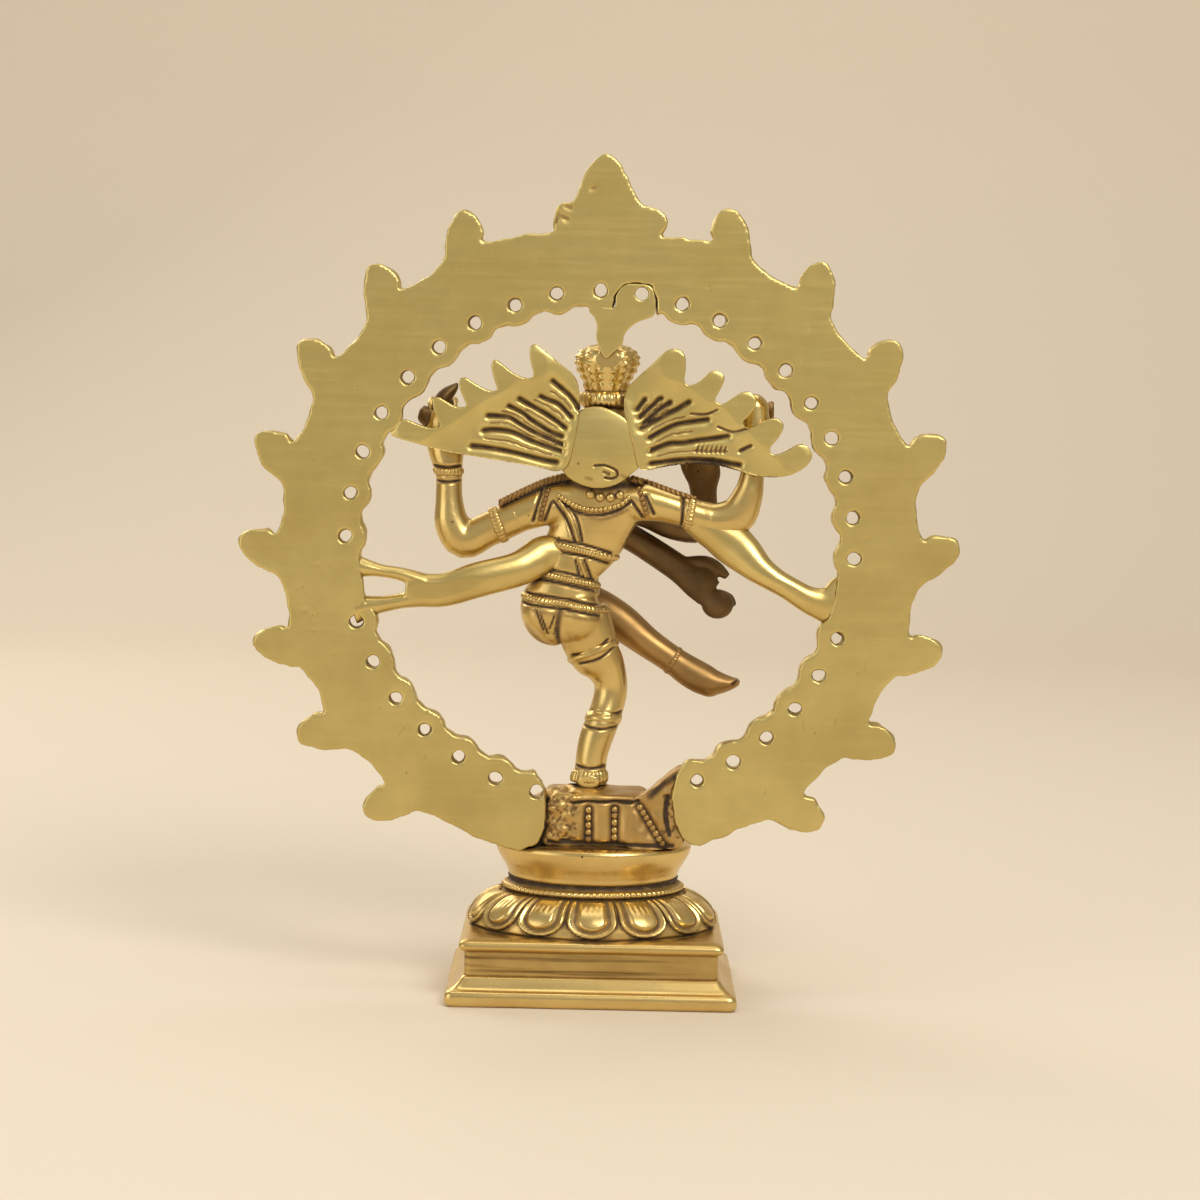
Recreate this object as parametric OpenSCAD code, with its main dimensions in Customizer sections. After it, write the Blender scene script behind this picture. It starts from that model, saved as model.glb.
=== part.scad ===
// Small cast-brass dancing figure in a ring of flames, on an oval lotus and a stepped plinth.
// Origin: bottom centre of the plinth. +Z up. The filed flat backs face -Y and the figure faces +Y.

/* [Plinth] */
// Width of the lowest slab
base_w = 70; // [62:1:84]
// Depth of the lowest slab, front to back
base_d = 54; // [48:1:66]
// Straight height of the lowest slab
base_h = 4; // [3:0.5:6]
// Width of the recessed block between the two slabs
die_w = 61; // [54:1:66]
// Depth of the recessed block
die_d = 46; // [40:1:50]
// Height of the recessed block
die_h = 9; // [6:0.5:14]
// Width of the upper slab
cap_w = 64; // [61:1:72]
// Depth of the upper slab
cap_d = 49; // [47:1:58]
// Thickness of the upper slab
cap_h = 3; // [2:0.5:5]
// Wall left round the hollow underside
plinth_wall = 5; // [3.5:0.5:8]

/* [Lotus and seat] */
// Width of the lotus dome at its rim
lotus_w = 60; // [54:1:61]
// Depth of the lotus dome at its rim
lotus_d = 46; // [40:1:47]
// Height of the lotus dome
lotus_h = 8.6; // [6:0.2:12]
// Width of the lotus dome where the collar sits
lotus_top_w = 43.5; // [38:0.5:48]
// Depth of the lotus dome where the collar sits
lotus_top_d = 33; // [28:0.5:38]
// Number of petals round the dome
petal_count = 14; // [10:2:18]
// How far a petal stands out of the dome
petal_t = 0.9; // [0.5:0.1:1.6]
// Height of the ticked collar
collar_h = 3.4; // [2.4:0.2:5]
// Height of the plain cushion
cushion_h = 9; // [7:0.5:12]
// Width of the cushion at its widest
cushion_w = 46.4; // [38.6:0.1:52]
// Depth of the cushion at its widest
cushion_d = 36; // [32:0.5:42]

/* [Flame ring] */
// Inner radius of the plain band
ring_inner_r = 57.4; // [50:0.1:69]
// Width of the band, from its inner edge to the valleys between the flames
ring_band_w = 18.9; // [15:0.1:23]
// Thickness of the band
ring_t = 5; // [4:0.5:7]
// How deep the band is cut away where it stands on the cushion
ring_seat_cut = 3.3; // [2:0.1:4.5]
// Distance of the filed back plane behind the middle of the plinth
ring_back = 16; // [14:0.5:17]
// Diameter of the drilled holes
hole_dia = 3.2; // [2.4:0.1:4]
// Distance from the inner edge of the band to the middle of a hole
hole_inset = 3.6; // [3:0.1:5]
// Radius of the scallop round each hole
boss_r = 5; // [4:0.1:6]
// How far a flame stands out of the band
flame_len = 9.8; // [8:0.2:12]
// Number of flames on each side
flame_count = 8; // [6:1:8]
// How far the finial stands out of the band
finial_h = 16.7; // [14:0.1:20]
// Left edge of the gap at the bottom of the ring
gap_left = -11.5; // [-14:0.5:-9]
// Right edge of the gap at the bottom of the ring
gap_right = 20; // [17:0.5:23]

/* [Figure] */
// Height of the lying dwarf that the figure stands on
dwarf_h = 14; // [11.5:0.1:17]
// Height of the figure from its sole to the top of its crown
figure_h = 107; // [88:1:112]
// Thickness of the two flat hair fans
fan_t = 3.2; // [2.4:0.2:4.5]
// Thickness of the flying sash where it is filed flat
sash_t = 4.6; // [3.5:0.1:6]
// Thickness of bands, belts and other raised trim
trim_t = 0.8; // [0.5:0.1:1.2]
// Width of an armlet, a wristlet or a knee band
band_w = 3; // [2:0.25:4]

/* [Hidden] */
eps = 0.01;
curve = 64;
tongue_t = 3;
strut_t = 4.6;
sash_root_t = 9;
far = 200;

die_z = base_h;
cap_z = die_z + die_h;
lotus_z = cap_z + cap_h;
collar_z = lotus_z + lotus_h;
cushion_z = collar_z + collar_h;
seat_z = cushion_z + cushion_h;
cushion_foot = 0.9;
petal_cols = 6;
petal_rows = 6;

ring_outer_r = ring_inner_r + ring_band_w;
ring_z = seat_z + ring_outer_r - ring_seat_cut;
hole_r = ring_inner_r + hole_inset;
hole_pitch_right = 9.25;
hole_pitch_left = 9.75;
hole_shift = -1;
flame_first_right = 22.8;
flame_first_left = 26;
flame_pitch_right = 17.2;
flame_pitch_left = 16.7;
hand_hole = -10;
elbow_hole = 11;
lug_left = 3.5;
lug_right = 12.5;
lug_rise = 5;

// The block between the ring's right end and the dwarf, and the dwarf's sides and back as depths
foot_block_w = 8;
foot_block_t = 7;
dwarf_right = gap_right - foot_block_w;
dwarf_back = 1.2;
dwarf_front = 21;
dwarf_head_r = 5.4;

fig_k = figure_h / 107;
fig_z = seat_z + dwarf_h;
limb_sides = 12;

// Where the castings of the figure meet: heights, sides and depths of the cutting planes
neck_z = 77;
waist_z = 51;
groin_z = 37;
sole_top_z = 3;
right_shoulder_x = 10;
left_shoulder_x = -10.4;
sash_x = -12.6;
chest_d = 12.4 * fig_k;
hip_d = 14.2 * fig_k;
elbow_z = 62.2;
hand_z = 87;

// ---- shared functions ----

function mix(a, b, t) = a + (b - a) * t;
function unit(v) = v / norm(v);
function power(c, p) = sign(c) * pow(abs(c), p);

// A figure station is x, distance in front of the back plane, height over the sole, and two half sizes
function placed(s) = [s[0] * fig_k, s[1] * fig_k - ring_back, s[2] * fig_k + fig_z, s[3] * fig_k, s[4] * fig_k];

function spot(s) = [s[0], s[1], s[2]];

// ---- shared shapes ----

// Closed skin over equal rings of points, with flat ends
module skin(rings) {
    n = len(rings[0]);
    m = len(rings);
    points = [for (r = rings, p = r) p];
    sides = [
        for (i = [0:m - 2], j = [0:n - 1])
            let (a = i * n + j, b = i * n + (j + 1) % n)
            each [[a, b, b + n], [a, b + n, a + n]]
    ];
    first = [for (j = [n - 1:-1:0]) j];
    last = [for (j = [0:n - 1]) (m - 1) * n + j];
    polyhedron(points, concat([first], sides, [last]), convexity = 6);
}

// The frame of a swept shape at station i: along, across and deep
function frame_at(st, i, ref) =
    let (
        along = unit(spot(st[min(i + 1, len(st) - 1)]) - spot(st[max(i - 1, 0)])),
        across = unit(cross(along, ref))
    )
    [along, across, cross(across, along)];

// The oval ring of points round station s, in the frame f
function oval_ring(s, f, sides, square = 1) = [
    for (j = [0:sides - 1])
        let (a = -360 * j / sides)
        spot(s) + f[1] * s[3] * power(cos(a), square) + f[2] * s[4] * power(sin(a), square)
];

// A shape swept along its stations, oval across, with its depth turned towards ref
module sweep(st, ref = [0, 1, 0], square = 1, sides = limb_sides) {
    skin([for (i = [0:len(st) - 1]) oval_ring(st[i], frame_at(st, i, ref), sides, square)]);
}

module limb(st, ref = [0, 1, 0], square = 1) {
    sweep([for (s = st) placed(s)], ref, square);
}

// A band round a limb: part u of the way from station i to the next, w wide and t thick
module band(st, i, u, w, t = trim_t) {
    placed_st = [for (s = st) placed(s)];
    f0 = frame_at(placed_st, i, [0, 1, 0]);
    f1 = frame_at(placed_st, i + 1, [0, 1, 0]);
    gap = norm(spot(placed_st[i + 1]) - spot(placed_st[i]));
    low = max(0, u - w / 2 / gap);
    high = min(1, u + w / 2 / gap);
    rings = [
        for (e = [[low, 0], [low, t], [high, t], [high, 0]])
            oval_ring(
                placed_st[i] * (1 - e[0]) + placed_st[i + 1] * e[0] + [0, 0, 0, e[1], e[1]],
                f0 * (1 - e[0]) + f1 * e[0],
                limb_sides
            )
    ];
    n = limb_sides;
    polyhedron(
        [for (r = rings, p = r) p],
        [
            for (k = [0:3], j = [0:n - 1])
                let (a = k * n + j, b = k * n + (j + 1) % n, c = (k + 1) % 4 * n + j, d = (k + 1) % 4 * n + (j + 1) % n)
                each [[a, b, d], [a, d, c]]
        ],
        convexity = 6
    );
}

// A stack of oval levels, each of height, half width and half depth
module oval_stack(levels, sides = 48) {
    skin([
        for (l = levels)
            [for (j = [0:sides - 1]) let (a = -360 * j / sides) [l[1] * cos(a), l[2] * sin(a), l[0]]]
    ]);
}

module rounded_slab(w, d, h, r) {
    linear_extrude(h)
        union() {
            square([w - 2 * r, d], center = true);
            square([w, d - 2 * r], center = true);
            for (x = [-1, 1], y = [-1, 1])
                translate([x * (w / 2 - r), y * (d / 2 - r)])
                    circle(r = r, $fn = curve);
        }
}

// A flat plate standing in the filed back plane
module backplate(t, from = 0) {
    translate([0, from + t - ring_back, 0])
        rotate([90, 0, 0])
            linear_extrude(t)
                children();
}

// Everything behind a plane across the depth, at a distance in front of the back plane
module behind(d) {
    translate([-far, d - ring_back - far, -far])
        cube([2 * far, far, 3 * far]);
}

module in_front_of(d) {
    translate([-far, d - ring_back, -far])
        cube([2 * far, far, 3 * far]);
}

// Everything over or under a height of the figure, and left or right of one of its places
module over(z) {
    translate([-far, -far, z * fig_k + fig_z])
        cube([2 * far, 2 * far, far]);
}

module under(z) {
    translate([-far, -far, z * fig_k + fig_z - far])
        cube([2 * far, 2 * far, far]);
}

module right_of(x) {
    translate([x * fig_k, -far, -far])
        cube([far, 2 * far, 3 * far]);
}

module left_of(x) {
    translate([x * fig_k - far, -far, -far])
        cube([far, 2 * far, 3 * far]);
}

// Figure outline points, from x and height over the sole
function outline(pts) = [for (p = pts) [p[0] * fig_k, p[1] * fig_k + fig_z]];

// ---- stations of the figure ----

torso_st = [
    [-7.6, 9, 50, 7.3, 5], [-5.2, 9, 55, 8.3, 4.9], [-2.6, 9, 60.5, 9.1, 5.2], [-1.2, 9, 66, 10.8, 5.6],
    [-0.4, 8.6, 71.5, 11.4, 5], [0.4, 8, 75, 7.2, 4.2], [0.6, 7.8, 78.5, 4.4, 3.8]
];
hips_st = [
    [-2.6, 9.4, 34.5, 6.6, 4.8], [-5.4, 9.2, 38, 8.6, 5.6], [-8.8, 9, 43, 9.6, 6],
    [-8.9, 9, 47, 8.7, 5.7], [-6.8, 9, 52, 7.4, 5]
];
leg_st = [
    [-2.4, 9.6, 39, 7.2, 5.4], [-0.6, 10.8, 34, 6.4, 5.2], [1.4, 12.2, 29.6, 5.2, 4.9], [3.2, 13, 23.6, 4.2, 4.3],
    [2.2, 11.4, 17.4, 4.2, 4.3], [0.4, 10, 12.4, 4.2, 4.2], [-0.8, 9.2, 7.6, 3.8, 3.8], [-1.5, 9, 2, 4, 4]
];
raised_st = [
    [-10.6, 12.6, 43, 5, 4.6], [-7, 18, 44.4, 5, 4.6], [0, 22, 42.6, 5, 4.4], [9, 21.4, 36.4, 4.2, 4],
    [17, 20.6, 30.8, 3.4, 3.4], [25, 20, 25.6, 3.8, 3.6], [30, 20, 24.6, 2.4, 3.4], [34.4, 20, 24.8, 0.8, 2.2]
];
drum_arm_st = [
    [9, 8.2, 69.6, 4.8, 4.4], [20.5, 7.4, 66.4, 3.8, 3.7], [32.6, 6.8, 65.4, 4.6, 3.6], [36.2, 7.2, 76.4, 2.9, 3],
    [37, 7.6, 83, 3, 2.8], [36.8, 8, 88.5, 3.6, 2.8], [36.4, 8.2, 92.6, 3.2, 2.6], [36.6, 8.2, 95.8, 1.6, 1.6]
];
flame_arm_st = [
    [-9.4, 8.8, 69.8, 5.4, 4.6], [-20, 7.8, 65.6, 4.4, 4], [-27, 7.2, 62.2, 4, 3.8], [-34.6, 7, 61.4, 4.8, 3.9],
    [-36.2, 7.6, 71.4, 3.3, 3.4], [-36.8, 8, 76, 3.5, 3.3], [-37.6, 8.4, 82, 4.9, 3.2], [-37.8, 8.6, 88, 4.2, 3]
];
blessing_st = [
    [8, 11, 67, 3.8, 3.8], [14, 17.4, 64.6, 3.8, 3.6], [24, 19.4, 62.6, 4, 3.4], [25, 20.4, 70.6, 3.2, 2.6],
    [24.9, 20.6, 75, 4.2, 1.8], [24.6, 21, 79.4, 3.8, 1.4], [24.4, 21.2, 83.2, 2, 1]
];
crossing_st = [
    [-8.6, 11, 68, 3.8, 3.8], [-5, 17.4, 66.6, 3.8, 3.4], [6, 19.6, 61.2, 3.4, 3.2], [15, 19.4, 55.8, 3.6, 3.2],
    [21, 19.2, 51.4, 3.8, 2.8], [25.6, 19, 47.8, 4.2, 2.2], [29.4, 19, 44, 3.8, 1.7], [31.8, 19, 41, 1.8, 1.2]
];
head_st = [
    [0.7, 8.4, 76, 3.6, 3.6], [0.8, 9.4, 79, 6, 5.8], [0.8, 10, 83, 7.2, 7], [0.8, 9.8, 88, 7.2, 7.4],
    [0.8, 9.4, 92, 6, 6.4], [0.8, 9.2, 94, 5.2, 5.4]
];
crown_st = [
    [0.8, 9, 97.4, 5, 5], [0.8, 8.6, 100, 6.6, 6.2], [0.8, 8.4, 103, 7.5, 6.8], [1, 8.4, 105.6, 6.2, 6],
    [1.2, 8.4, 107, 3.4, 3.6]
];
foot_st = [
    [-1.5, 4.6, 1.2, 2.6, 1.8], [-1.5, 8, 1.6, 3.6, 2.2], [-1.2, 13, 1.4, 3.6, 2], [-0.8, 18, 0.8, 3.6, 1.4],
    [-0.6, 21.6, 0.5, 2.6, 1]
];

// Outline of the disc behind the head, as x and height
nape_pts = [
    [-4.5, 91.6], [-0.2, 92.2], [4.4, 90.4], [8, 87], [11.4, 84.6], [11.6, 83], [10.2, 80.2], [8.6, 78.2],
    [3.4, 74], [-2.2, 73.2], [-7.4, 75], [-10, 78.2], [-9.6, 80.6], [-8.6, 86.6], [-6.6, 89.8]
];

// Depth of the torso's back at x and height z, measured in front of the back plane
function torso_back(x, z) =
    let (
        i = max([for (k = [0:len(torso_st) - 2]) if (torso_st[k][2] <= z) k]),
        t = (z - torso_st[i][2]) / (torso_st[i + 1][2] - torso_st[i][2]),
        s = torso_st[i] * (1 - t) + torso_st[i + 1] * t
    )
    s[1] - s[4] * sqrt(max(0.04, 1 - pow((x - s[0]) / s[3], 2)));

// A cord that lies on the torso's back, through points of x and height
module back_cord(pts, r) {
    limb([for (p = pts) [p[0], torso_back(p[0], p[1]) - r * 0.8, p[1], r, r]]);
}

// ---- plinth ----

module plinth_hollow() {
    translate([0, 0, (cap_z - eps) / 2])
        cube([die_w - 2 * plinth_wall, die_d - 2 * plinth_wall, cap_z + eps], center = true);
}

module base_slab() {
    color("darkgoldenrod")
        difference() {
            rounded_slab(base_w, base_d, base_h, 2);
            plinth_hollow();
        }
}

module plinth_die() {
    color("peru")
        difference() {
            translate([0, 0, die_z])
                rounded_slab(die_w, die_d, die_h, 1);
            plinth_hollow();
        }
}

module plinth_cap() {
    color("goldenrod")
        translate([0, 0, cap_z])
            rounded_slab(cap_w, cap_d, cap_h, 2);
}

// ---- lotus, collar and cushion ----

// A point of the dome's surface: angle round it, share of its height, distance out of it
function dome_point(a, t, out) = [
    (lotus_w / 2 - (lotus_w - lotus_top_w) / 2 * (1 - cos(90 * t)) + out) * cos(a),
    (lotus_d / 2 - (lotus_d - lotus_top_d) / 2 * (1 - cos(90 * t)) + out) * sin(a),
    lotus_z + lotus_h * mix(t, sin(90 * t), 0.6)
];

module lotus_dome() {
    color("goldenrod")
        skin([
            for (i = [0:petal_rows])
                [for (j = [0:petal_count * petal_cols - 1])
                    dome_point(-360 * j / (petal_count * petal_cols), i / petal_rows, 0)]
        ]);
}

// Half angle of a petal at a share of its height: round shoulders below, a point at the top
function petal_half(t) = 168 / petal_count * sqrt(max(0, 1 - pow(t, 3.2)));

module petal(a) {
    rows = [0.06, 0.25, 0.45, 0.62, 0.76, 0.86];
    skin([
        for (t = rows)
            let (h = petal_half(t / 0.9))
            concat(
                [for (u = [-1:0.5:1]) dome_point(a + u * h, t, 0)],
                [for (u = [1:-0.5:-1])
                    dome_point(a + u * h, t, petal_t * mix(0.5, 1, 1 - u * u)) - [0, 0, 0.15 * (1 - u * u)]]
            )
    ]);
}

module lotus_petals() {
    color("khaki")
        for (i = [0:petal_count - 1])
            petal(90 + 360 * i / petal_count);
}

module ticked_collar() {
    w = lotus_top_w / 2;
    d = lotus_top_d / 2;
    color("peru")
        oval_stack([
            [collar_z, w - 0.6, d - 0.6], [collar_z + collar_h * 0.2, w, d], [collar_z + collar_h * 0.75, w, d],
            [cushion_z, w - 1, d - 1]
        ]);
}

module cushion() {
    w = cushion_w / 2;
    d = cushion_d / 2;
    color("gold")
        oval_stack([
            [cushion_z, w * 0.88, d * 0.88], [mix(cushion_z, seat_z, 0.25), w * 0.915, d * 0.915],
            [mix(cushion_z, seat_z, 0.6), w * 0.975, d * 0.975], [mix(cushion_z, seat_z, 0.85), w, d],
            [seat_z, w - cushion_foot, d - cushion_foot]
        ]);
}

// ---- dwarf ----

module dwarf_body() {
    mid = (gap_left + dwarf_right) / 2;
    z = seat_z + dwarf_h / 2;
    y = (dwarf_back + dwarf_front) / 2 - ring_back;
    half = (dwarf_front - dwarf_back) / 2;
    color("peru")
        difference() {
            sweep([
                [gap_left, y, z, half - 0.6, dwarf_h / 2 + 1], [mix(gap_left, mid, 0.5), y, z, half + 0.4, dwarf_h / 2 + 1.6],
                [mix(dwarf_right, mid, 0.5), y, z, half + 0.4, dwarf_h / 2 + 1.6], [dwarf_right, y, z, half - 0.6, dwarf_h / 2 + 1]
            ], [0, 0, 1], 0.5);
            translate([-far, -far, seat_z - far])
                cube([2 * far, 2 * far, far]);
            over(0);
            behind(dwarf_back);
        }
}

module ring_foot() {
    color("sienna")
        backplate(foot_block_t)
            polygon([
                [dwarf_right, seat_z], [gap_right, seat_z], [gap_right, seat_z + dwarf_h + 4.6],
                [gap_right - 3, seat_z + dwarf_h + 4], [dwarf_right, seat_z + dwarf_h]
            ]);
}

module dwarf_head() {
    r = dwarf_head_r;
    color("goldenrod")
        translate([dwarf_right + r, foot_block_t + r - ring_back, seat_z + dwarf_h - r])
            sphere(r = r, $fn = 32);
}

module dwarf_legs() {
    z = seat_z;
    color("goldenrod")
        sweep([
            [gap_left, 2, z + 6, 4, 4], [gap_left - 5, 2, z + 4.6, 3.6, 4], [gap_left - 9, -1.5, z + 3.4, 2.6, 3],
            [gap_left - 8, -7, z + 2.2, 1.8, 2]
        ], [0, 0, 1]);
}

module dwarf_arms() {
    z = seat_z;
    y = dwarf_front - ring_back;
    color("goldenrod")
        difference() {
            sweep([
                [dwarf_right - 6, y - 2, z + 8, 2.6, 2.6], [dwarf_right - 5, y + 2.6, z + 6, 2.4, 2.4],
                [dwarf_right - 4, y + 4, z + 1.4, 1.8, 2]
            ], [1, 0, 0]);
            behind(dwarf_front);
            translate([-far, -far, seat_z - far])
                cube([2 * far, 2 * far, far]);
        }
}

module dwarf_straps() {
    low = seat_z + 1;
    high = seat_z + dwarf_h * 0.64;
    color("khaki")
        for (s = [[-1.2, -1.2], [5, 5], [8.2, 10.4]])
            backplate(1, dwarf_back - 1)
                polygon([[s[1] - 1, low], [s[1] + 1, low], [s[0] + 1, high], [s[0] - 1, high]]);
}

// ---- flame ring ----

function hole_angle(k) = hole_shift + k * (k > 0 ? hole_pitch_right : hole_pitch_left);
hole_list = [for (k = [-17:17]) if (k != hand_hole && k != elbow_hole) hole_angle(k)];

function flame_angle(i, side) =
    side > 0 ? flame_first_right + flame_pitch_right * i : -flame_first_left - flame_pitch_left * i;

module at_angle(a, r) {
    rotate(-a)
        translate([0, r])
            children();
}

// One flame from the band's outer edge at v = 0, leaning towards the top. Side is 1 right, -1 left
module flame_shape(side) {
    k = flame_len / 9.8;
    pts = [
        [7.4, -2], [5.2, 0.6 * k], [3.6, 3.4 * k], [2, 6.2 * k], [-0.4, 8.5 * k], [-2.8, 9.8 * k], [-4.6, 9.6 * k],
        [-5.8, 8.2 * k], [-6.4, 5.6 * k], [-6.2, 2.8 * k], [-5.2, 0.8 * k], [-5.6, -2]
    ];
    last = len(pts) - 1;
    polygon(side > 0 ? pts : [for (i = [last:-1:0]) [-pts[i][0], pts[i][1]]]);
}

module finial_shape() {
    top = ring_outer_r + finial_h;
    polygon([
        [13, ring_outer_r - 4], [12.6, top - 19], [14, top - 17], [14.2, top - 14.4], [11.8, top - 12.6],
        [8.6, top - 12.2], [6.8, top - 9.4], [5.2, top - 5.6], [2.4, top - 2], [-0.4, top], [-2.8, top - 2.4],
        [-5.2, top - 6], [-6.6, top - 9.4], [-7.8, top - 11.8], [-10.6, top - 11.4], [-12.4, top - 13.6],
        [-12.6, top - 17.4], [-13, ring_outer_r - 4]
    ]);
}

module lug_notch() {
    polygon([
        [lug_left - 2, ring_inner_r - 8], [lug_left, ring_inner_r + lug_rise],
        [lug_right - 1.5, ring_inner_r + lug_rise], [lug_right, ring_inner_r - 8]
    ]);
}

module band_shape() {
    difference() {
        union() {
            circle(r = ring_outer_r, $fn = curve);
            for (i = [0:flame_count - 1], side = [-1, 1])
                at_angle(flame_angle(i, side), ring_outer_r)
                    flame_shape(side);
            finial_shape();
        }
        circle(r = ring_inner_r, $fn = curve);
    }
    for (a = hole_list)
        at_angle(a, hole_r)
            circle(r = boss_r, $fn = 24);
}

module ring_plate() {
    translate([0, 0, ring_z])
        backplate(ring_t)
            difference() {
                band_shape();
                for (a = hole_list)
                    at_angle(a, hole_r)
                        circle(d = hole_dia, $fn = 24);
                translate([gap_left, -ring_outer_r - 1])
                    square([gap_right - gap_left, ring_outer_r]);
                translate([-far, -ring_outer_r - far + ring_seat_cut])
                    square([2 * far, far]);
            }
}

module lug_space(grow = 0) {
    translate([0, -grow, ring_z])
        backplate(ring_t + 2 * grow)
            lug_notch();
}

module flame_ring() {
    color("darkkhaki")
        difference() {
            ring_plate();
            lug_space(1);
        }
}

// The lug lets the crown into a notch of the ring, and ends in a tongue on the crown's back
module crown_lug() {
    tip_z = 104 * fig_k + fig_z;
    narrow_z = 109.4 * fig_k + fig_z;
    color("goldenrod") {
        intersection() {
            ring_plate();
            lug_space();
        }
        difference() {
            backplate(tongue_t)
                polygon([
                    [0.3, tip_z], [-1.7, narrow_z], [-2.6, narrow_z + 3.4], [-5.4, ring_z + ring_inner_r + 1.5],
                    [lug_right, ring_z + ring_inner_r + 1], [7.5, narrow_z + 3.8], [4.7, narrow_z]
                ]);
            translate([0, 0, ring_z])
                backplate(ring_t * 3, -ring_t)
                    band_shape();
        }
    }
}

// ---- head and hair ----

module crown() {
    color("gold")
        difference() {
            limb(crown_st);
            behind(tongue_t);
        }
}

module crown_band() {
    color("khaki")
        limb([[0.8, 9, 94, 5.4, 5.4], [0.8, 9, 97.4, 5.4, 5.4]]);
}

module head() {
    color("goldenrod")
        difference() {
            limb(head_st);
            behind(fan_t);
            under(neck_z);
        }
}

module nape_plate(grow) {
    backplate(fan_t + grow)
        polygon(outline(nape_pts));
}

module nape_disc() {
    color("tan")
        nape_plate(0);
}

// Radial grooves between the hair strands of a fan
module strand_grooves(angles, side) {
    for (g = angles)
        translate([side * 1.5 * fig_k, 1.6 - ring_back, 81 * fig_k + fig_z])
            rotate([90, 0, 0])
                rotate(side > 0 ? g[0] : 180 - g[0])
                    linear_extrude(4)
                        translate([12.5 * fig_k, -0.5])
                            square([g[1] * fig_k, 1]);
}

module hair_fan_left() {
    color("darkkhaki")
        difference() {
            backplate(fan_t)
                polygon(outline([
                    [-4.6, 92.6], [-6.2, 99.4], [-10.8, 103], [-15.6, 106.6], [-17.4, 106.6], [-17.6, 104.2], [-16.4, 100],
                    [-18.2, 98.8], [-21.4, 100], [-25, 103], [-26.4, 102.8], [-26.4, 100], [-25, 96], [-26.4, 95.4],
                    [-30, 97], [-33, 98.8], [-34.2, 98], [-33.6, 95], [-32.4, 92], [-34.4, 91.6], [-37.4, 93.2],
                    [-39.8, 94], [-40.2, 92.8], [-38.6, 90], [-38, 87.4], [-41, 86.6], [-44, 87.4], [-47.2, 88.6],
                    [-50.2, 85.2], [-43, 82.6], [-32.6, 80.4], [-20, 78.6], [-10.6, 77.4], [-8, 86]
                ]));
            nape_plate(1);
            strand_grooves([[-4, 20], [3, 20], [11, 18], [20, 16], [30, 14], [42, 10], [53, 10]], -1);
        }
}

module hair_fan_right() {
    color("darkkhaki")
        difference() {
            backplate(fan_t)
                polygon(outline([
                    [5.4, 92], [5.8, 97.6], [9, 101.4], [14, 105.6], [16.6, 106.4], [18.4, 105], [18.6, 101.6], [18.4, 98.8],
                    [20.4, 98.4], [23.6, 100], [26, 101.6], [27.6, 100.6], [26.8, 97.6], [25.6, 94.6], [28, 94],
                    [31, 95.4], [34.4, 95.8], [35.6, 94], [33.8, 90.4], [32.6, 88.6], [36, 88.6], [40, 90.2],
                    [41.6, 88.8], [39.8, 85.8], [38.6, 83.4], [41, 82.6], [46, 84], [49.6, 82.2], [48, 79.4],
                    [43.4, 77], [37.6, 76.6], [28.6, 79], [20, 79.4], [9.4, 78.2], [7.6, 84]
                ]));
            nape_plate(1);
            strand_grooves([[-1, 18], [6, 20], [13, 16], [22, 14], [33, 12], [45, 9], [57, 8]], 1);
        }
}

module hair_locks() {
    color("peru") {
        back_cord([[-7, 76.4], [-9, 73.4], [-11, 70.4]], 1.1);
        back_cord([[7.6, 76.4], [9.4, 73.4], [10.6, 70.8]], 1.1);
    }
}

module earrings() {
    color("khaki")
        for (side = [-1, 1])
            translate([(0.8 + side * 8.6) * fig_k, 9.6 * fig_k - ring_back, 80.6 * fig_k + fig_z])
                rotate([90, 0, 0])
                    cylinder(r = 1.9 * fig_k, h = 1.6, center = true, $fn = curve);
}

// ---- torso and its ornaments ----

module torso() {
    color("gold")
        difference() {
            limb(torso_st);
            over(neck_z);
            under(waist_z);
            right_of(right_shoulder_x);
            left_of(sash_x);
            intersection() {
                left_of(left_shoulder_x);
                over(62);
            }
            in_front_of(chest_d);
        }
}

module necklace() {
    color("khaki")
        back_cord([[-8, 71.6], [-5, 69], [-1, 67.4], [3, 67.6], [6.4, 69.2], [9, 72]], 0.9);
}

module shoulder_straps() {
    color("peru") {
        back_cord([[-9.6, 70], [-8.8, 67.4], [-8.2, 64.6]], 0.8);
        back_cord([[9.8, 71.6], [8.4, 68.4], [8, 65]], 0.8);
    }
}

// Two cords from the left shoulder down to the right of the waist
module sacred_thread() {
    color("khaki") {
        back_cord([[-7, 66], [-4.6, 62.6], [-2.6, 59.8], [0.4, 57.4]], 0.6);
        back_cord([[-5, 67], [-2.8, 63.8], [-0.6, 61], [1.8, 59.2]], 0.6);
    }
}

module chest_belt() {
    color("khaki")
        difference() {
            band(torso_st, 1, 0.5, 2.4);
            left_of(sash_x);
            in_front_of(chest_d);
        }
}

module waist_belt() {
    color("khaki")
        difference() {
            band(torso_st, 0, 0.56, 2.2);
            left_of(sash_x);
            in_front_of(chest_d);
        }
}

module hip_belt() {
    color("khaki")
        difference() {
            band(hips_st, 2, 0.6, 2.2);
            in_front_of(hip_d);
        }
}

module hips() {
    color("gold")
        difference() {
            limb(hips_st);
            over(waist_z);
            under(groin_z);
            in_front_of(hip_d);
        }
}

// ---- legs ----

module standing_leg() {
    color("gold")
        difference() {
            limb(leg_st);
            over(groin_z);
            under(sole_top_z);
        }
}

module thigh_hem() {
    color("khaki")
        band(leg_st, 1, 0.36, 2.6);
}

module knee_band() {
    color("khaki")
        band(leg_st, 4, 0.4, band_w);
}

module standing_anklet() {
    color("khaki")
        band(leg_st, 6, 0.55, 2);
}

module standing_foot() {
    color("gold")
        difference() {
            limb(foot_st, [0, 0, 1]);
            over(sole_top_z);
            under(0);
        }
}

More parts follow.
